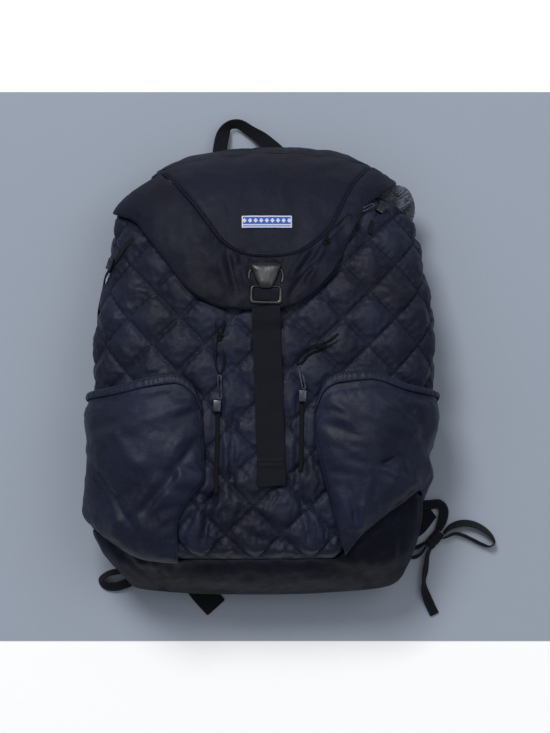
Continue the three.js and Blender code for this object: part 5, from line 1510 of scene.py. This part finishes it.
LOOP_LEVEL = PANEL_LEVEL - 1.2
TIES = {
    "corner_loop_left": [
        (-104, -200, LOOP_LEVEL, 0, 0, 1), (-122, -203, LOOP_LEVEL, 0, 0, 1), (-138, -207.5, 9, 0, 1, 0.9),
        (-152, -208.5, 7, 0, 1, 0.7), (-163, -211.5, 6, -0.5, 0.9, 0.6), (-169.5, -217.5, 6, -1, 0, 0.6),
        (-165, -223.5, 4.5, -0.5, -0.6, 1), (-155, -224.5, 4, 0, -0.2, 1), (-144, -221.5, 5, 0, 0, 1),
        (-134, -217, 8, 0, 0, 1), (-122, -214, LOOP_LEVEL, 0, 0, 1), (-104, -213, LOOP_LEVEL, 0, 0, 1)],
    "strap_bight_right": [
        (158, -139, 3.5, 0, 0, 1), (172, -139, 3.4, 0, 0, 1), (184, -138.5, 3.4, 0, 0, 1),
        (188.6, -144, 3.6, 0, 0, 1), (187.6, -154, 4, 0, 0, 1), (183, -165.6, 4, 0, 0, 1, 0.7)],
    "strap_loop_right": [
        (188.2, -169.4, 6, -0.6, 0.8, 0.1), (192.6, -164.6, 6, -0.5, 0.8, 0.3),
        (199, -160.5, 5.6, -0.4, 0.8, 0.6), (209, -158, 5.6, 0, 1, 0.8), (220, -159.5, 5.6, 0.3, 1, 0.8),
        (231, -165, 5.6, 0.6, 0.8, 0.6),
        (239.5, -173, 5.6, 0.8, 0.6, 0.3), (241.5, -179, 5.5, 1, -0.2, 0.1), (237, -182.5, 5.5, 0, -1, 0.1),
        (228, -180, 5.6, -0.4, -0.9, 0.3), (218, -175, 5.6, -0.4, -0.9, 0.3),
        (208, -170.5, 5.6, -0.2, -1, 0.3), (200, -169, 5.6, 0, -1, 0.3),
        (194, -171.5, 5.6, 0.1, -1, 0.2), (188, -174.2, 5.6, 0.3, -1, 0.1)],
    "keeper_loop_right": [
        (169.6, -178.4, 5.4, -0.3, 1, 0.1), (160, -183.6, 5.4, 0, 1, 0.3), (150, -184.6, 5.4, 0, 1, 0.2),
        (145, -188.5, 5.4, -1, 0, 0), (150, -193, 5.4, 0, -1, 0.2), (159, -193.4, 5.4, 0.1, -1, 0.4),
        (166, -189, 5.4, 0.6, -1, 0.2), (170.4, -182.6, 5.4, 0.9, -0.5, 0.1)],
    "strap_tail_right": [
        (175, -184.6, 5.6, 0.9, -0.3, 0.2), (172, -190.5, 5.6, 1, 0.1, 0.4), (171, -198, 5.6, 1, 0, 0.5),
        (169.5, -208, 5.6, 0.9, 0, 0.6), (168, -218, 5.4, 1, 0, 0.4), (168.6, -228, 4.8, 0.8, 0, 0.8),
        (171.6, -237, 2.6, 0.2, 0, 1), (176, -247, 1.8, 0, 0, 1), (179.4, -254, 1.6, 0, 0, 1)],
}
for name, stations in TIES.items():
    ribbon(name, stations, TIE_WIDTH, TIE)


def build_keeper():
    """Webbing wound round the gathered strap: three close turns."""
    angle, length, width, height = 0.87, 20.0, 12.0, 7.0
    centre = np.array([178.7, -175.0, SEAM_GAP + height / 2])
    c, s = math.cos(angle), math.sin(angle)
    along, across = np.array([c, s, 0.0]), np.array([-s, c, 0.0])
    rings = []
    turn = np.linspace(0, 2 * math.pi, 20, endpoint=False)
    for at in np.linspace(-1, 1, 25):
        bulge = 1 + 0.06 * math.cos(at * 3 * math.pi) - 0.12 * at ** 4
        rings.append(centre + along * at * length / 2
                     + (across * (width / 2 * bulge) * np.cos(turn)[:, None])
                     + np.array([0, 0, 1.0]) * (height / 2 * bulge) * np.sin(turn)[:, None])
    loft("strap_keeper_wound", rings, TIE, "webbing", "strap_keeper_right")


build_keeper()


# Harness underneath: padded back panel with sewn channels and two padded shoulder straps
PANEL_WIDTH_SHARE, PANEL_BOTTOM_Y, PAD_CHAMFER = 0.82, -HALF_LENGTH * 0.965, 5


def back_height(x, y):
    along = y / HALF_LENGTH
    left, right = LEFT(along) * HALF_WIDTH, RIGHT(along) * HALF_WIDTH
    out = np.minimum(np.abs(x - (left + right) / 2) / ((right - left) / 2), 1)
    return BACK_LEVEL + WAIST(along) * BAG_DEPTH * (1 - (1 - out ** BACK_EXPONENT) ** (1 / BACK_EXPONENT))


def build_back_panel():
    s, t = np.meshgrid(np.linspace(-1, 1, 97), np.linspace(0, 1, 121))
    y = PANEL_BOTTOM_Y + (PANEL_TOP_Y - PANEL_BOTTOM_Y) * t
    along = y / HALF_LENGTH
    left, right = LEFT(along) * HALF_WIDTH, RIGHT(along) * HALF_WIDTH
    x = (left + right) / 2 * (1 - np.exp(-np.abs(s) * 6)) + s * PANEL_WIDTH_SHARE * (right - left) / 2
    top = back_height(x, y) - SEAM_GAP
    pad = SPINE_PAD_WIDTH / 2
    low = PANEL_LEVEL * smooth(np.abs(x), pad, pad + PAD_CHAMFER)
    channel = 1.6 * np.exp(-(((t * 6) % 1 - 0.5) / 0.09) ** 2)
    edge = np.minimum(np.minimum(1 - np.abs(s), 1) * 9, np.minimum(t, 1 - t) * 16)
    roll = smooth(edge, 0, 0.6)
    low = np.where(np.abs(x) > pad, low + channel * smooth(np.abs(x), pad, pad + 8), low)
    bottom = low + (top - 1 - low) * (1 - roll) * 0.5
    front = np.stack([x, y, top], -1)
    back = np.stack([x, y, np.minimum(bottom, top - 1)], -1)
    rows, columns = front.shape[0] - 1, front.shape[1] - 1
    count = front.shape[0] * front.shape[1]
    faces = grid_faces(rows, columns)
    faces += [tuple(v + count for v in face[::-1]) for face in grid_faces(rows, columns)]
    wide = columns + 1
    rim = list(range(wide)) + [j * wide + columns for j in range(1, rows + 1)]
    rim += [rows * wide + i for i in range(columns - 1, -1, -1)] + [j * wide for j in range(rows - 1, 0, -1)]
    for a, b in zip(rim, rim[1:] + rim[:1]):
        faces.append((a, a + count, b + count, b))
    verts = np.concatenate([front.reshape(-1, 3), back.reshape(-1, 3)])
    uv = np.stack([y * MM, edge * 4 * MM], -1).reshape(-1, 2)
    panel = mesh_of("back_panel_pad", verts, faces, BACK, np.concatenate([uv, uv]))
    ride(panel, "back", "back_panel")


build_back_panel()

# Shoulder straps: x, y, share of the width
STRAP_STATIONS = [(70, 196, 0.9), (78, 130, 1), (88, 60, 1), (92, -10, 0.9), (88, -72, 0.6)]


def build_shoulder_strap(name, side):
    route = catmull([(side * x, y, wide) for x, y, wide in STRAP_STATIONS], 14)
    turn = np.linspace(0, 2 * math.pi, 28, endpoint=False)
    rings = []
    last = len(route) - 1
    for n, (x, y, wide) in enumerate(route):
        end = 1 - 0.45 * (math.exp(-n / 1.2) + math.exp(-(last - n) / 1.2))
        ca, sa = np.cos(turn), np.sin(turn)
        across = np.sign(ca) * np.abs(ca) ** 0.55 * wide * SHOULDER_STRAP_WIDTH / 2
        quilt = 1 - 0.1 * math.exp(-(((n % 6) - 3) / 0.5) ** 2)
        up = np.sign(sa) * np.abs(sa) ** 0.6 * SHOULDER_STRAP_THICKNESS / 2 * 0.96 * end
        high = np.where(up > 0, up * quilt, up) + SHOULDER_STRAP_THICKNESS / 2
        rings.append(np.column_stack([x + across, np.full(28, y), high]))
    node = "shoulder_strap_" + name
    loft(node + "_pad", rings[::-1], BACK, "back", node)


build_shoulder_strap("left", -1)
build_shoulder_strap("right", 1)


# Floor: a grey-blue sheet on a white table that glows faintly as painted light, and soft studio light
def floor_material(name, color, glow=0.0, grain=0.02):
    g = Graph(name)
    tone = g.mix(g.range(g.noise(3.0, 2.0), 0.3, 0.7, 0.0, 1.0), color, tuple(v * (1 - grain) for v in color))
    g.finish(tone, 0.9, Specular_IOR_Level=0.1)
    # glow makes the surface emit light of its own: a painted glow, though the surface is no lamp
    if glow:
        g.feed(g.shader.inputs["Emission Color"], (1, 1, 1, 1))
        g.feed(g.shader.inputs["Emission Strength"], glow)
    return g.material


def stage_plane(name, low_x, low_y, high_x, high_y, z, material):
    verts = [(low_x, low_y, z), (high_x, low_y, z), (high_x, high_y, z), (low_x, high_y, z)]
    mesh_of(name, verts, [(0, 1, 2, 3)], material, shade=False)


FLOOR_SCALE = SCALE * CAMERA_HEIGHT / (CAMERA_HEIGHT - VIEW_PLANE)
SHEET_TOP = VIEW_Y + (PHOTO_HEIGHT / 2 - 92) * FLOOR_SCALE
SHEET_BOTTOM = VIEW_Y + (PHOTO_HEIGHT / 2 - 641) * FLOOR_SCALE
# The white table glows faintly (emission 0.1): painted light
stage_plane("table", -6000, -6000, 6000, 6000, -1.2, floor_material("white_table", (0.9, 0.9, 0.9), 0.1, 0.0))
sheet_grey = floor_material("grey_sheet", linear(150, 158, 171))
stage_plane("sheet", -1500, SHEET_BOTTOM, 1500, SHEET_TOP, -0.6, sheet_grey)


def area_light(name, place, size, power):
    """Light that points at the bag, placed in metres."""
    data = bpy.data.lights.new(name, "AREA")
    data.energy = power
    data.size = size
    light = bpy.data.objects.new(name, data)
    light.location = place
    light.rotation_mode = "QUATERNION"
    light.rotation_quaternion = (-Vector(place)).to_track_quat("-Z", "Y")
    SCENE.collection.objects.link(light)


area_light("key", (-1.3, 3.0, 4.4), 1.6, 196)
area_light("fill", (2.4, 1.6, 5.0), 3.0, 52)


def studio_world():
    """Soft light from overhead that fades towards the horizon."""
    world = bpy.data.worlds.new("studio")
    world.use_nodes = True
    tree = world.node_tree
    place = tree.nodes.new("ShaderNodeTexCoord")
    split = tree.nodes.new("ShaderNodeSeparateXYZ")
    fade = tree.nodes.new("ShaderNodeMapRange")
    tree.links.new(place.outputs["Generated"], split.inputs[0])
    tree.links.new(split.outputs[2], fade.inputs[0])
    for socket, value in zip(fade.inputs[1:5], (0.1, 0.8, 0.05, 0.52)):
        socket.default_value = value
    light = tree.nodes["Background"]
    tree.links.new(fade.outputs[0], light.inputs["Strength"])
    light.inputs["Color"].default_value = (0.94, 0.96, 1.0, 1)
    return world


SCENE.world = studio_world()
SCENE.view_settings.view_transform = "Standard"
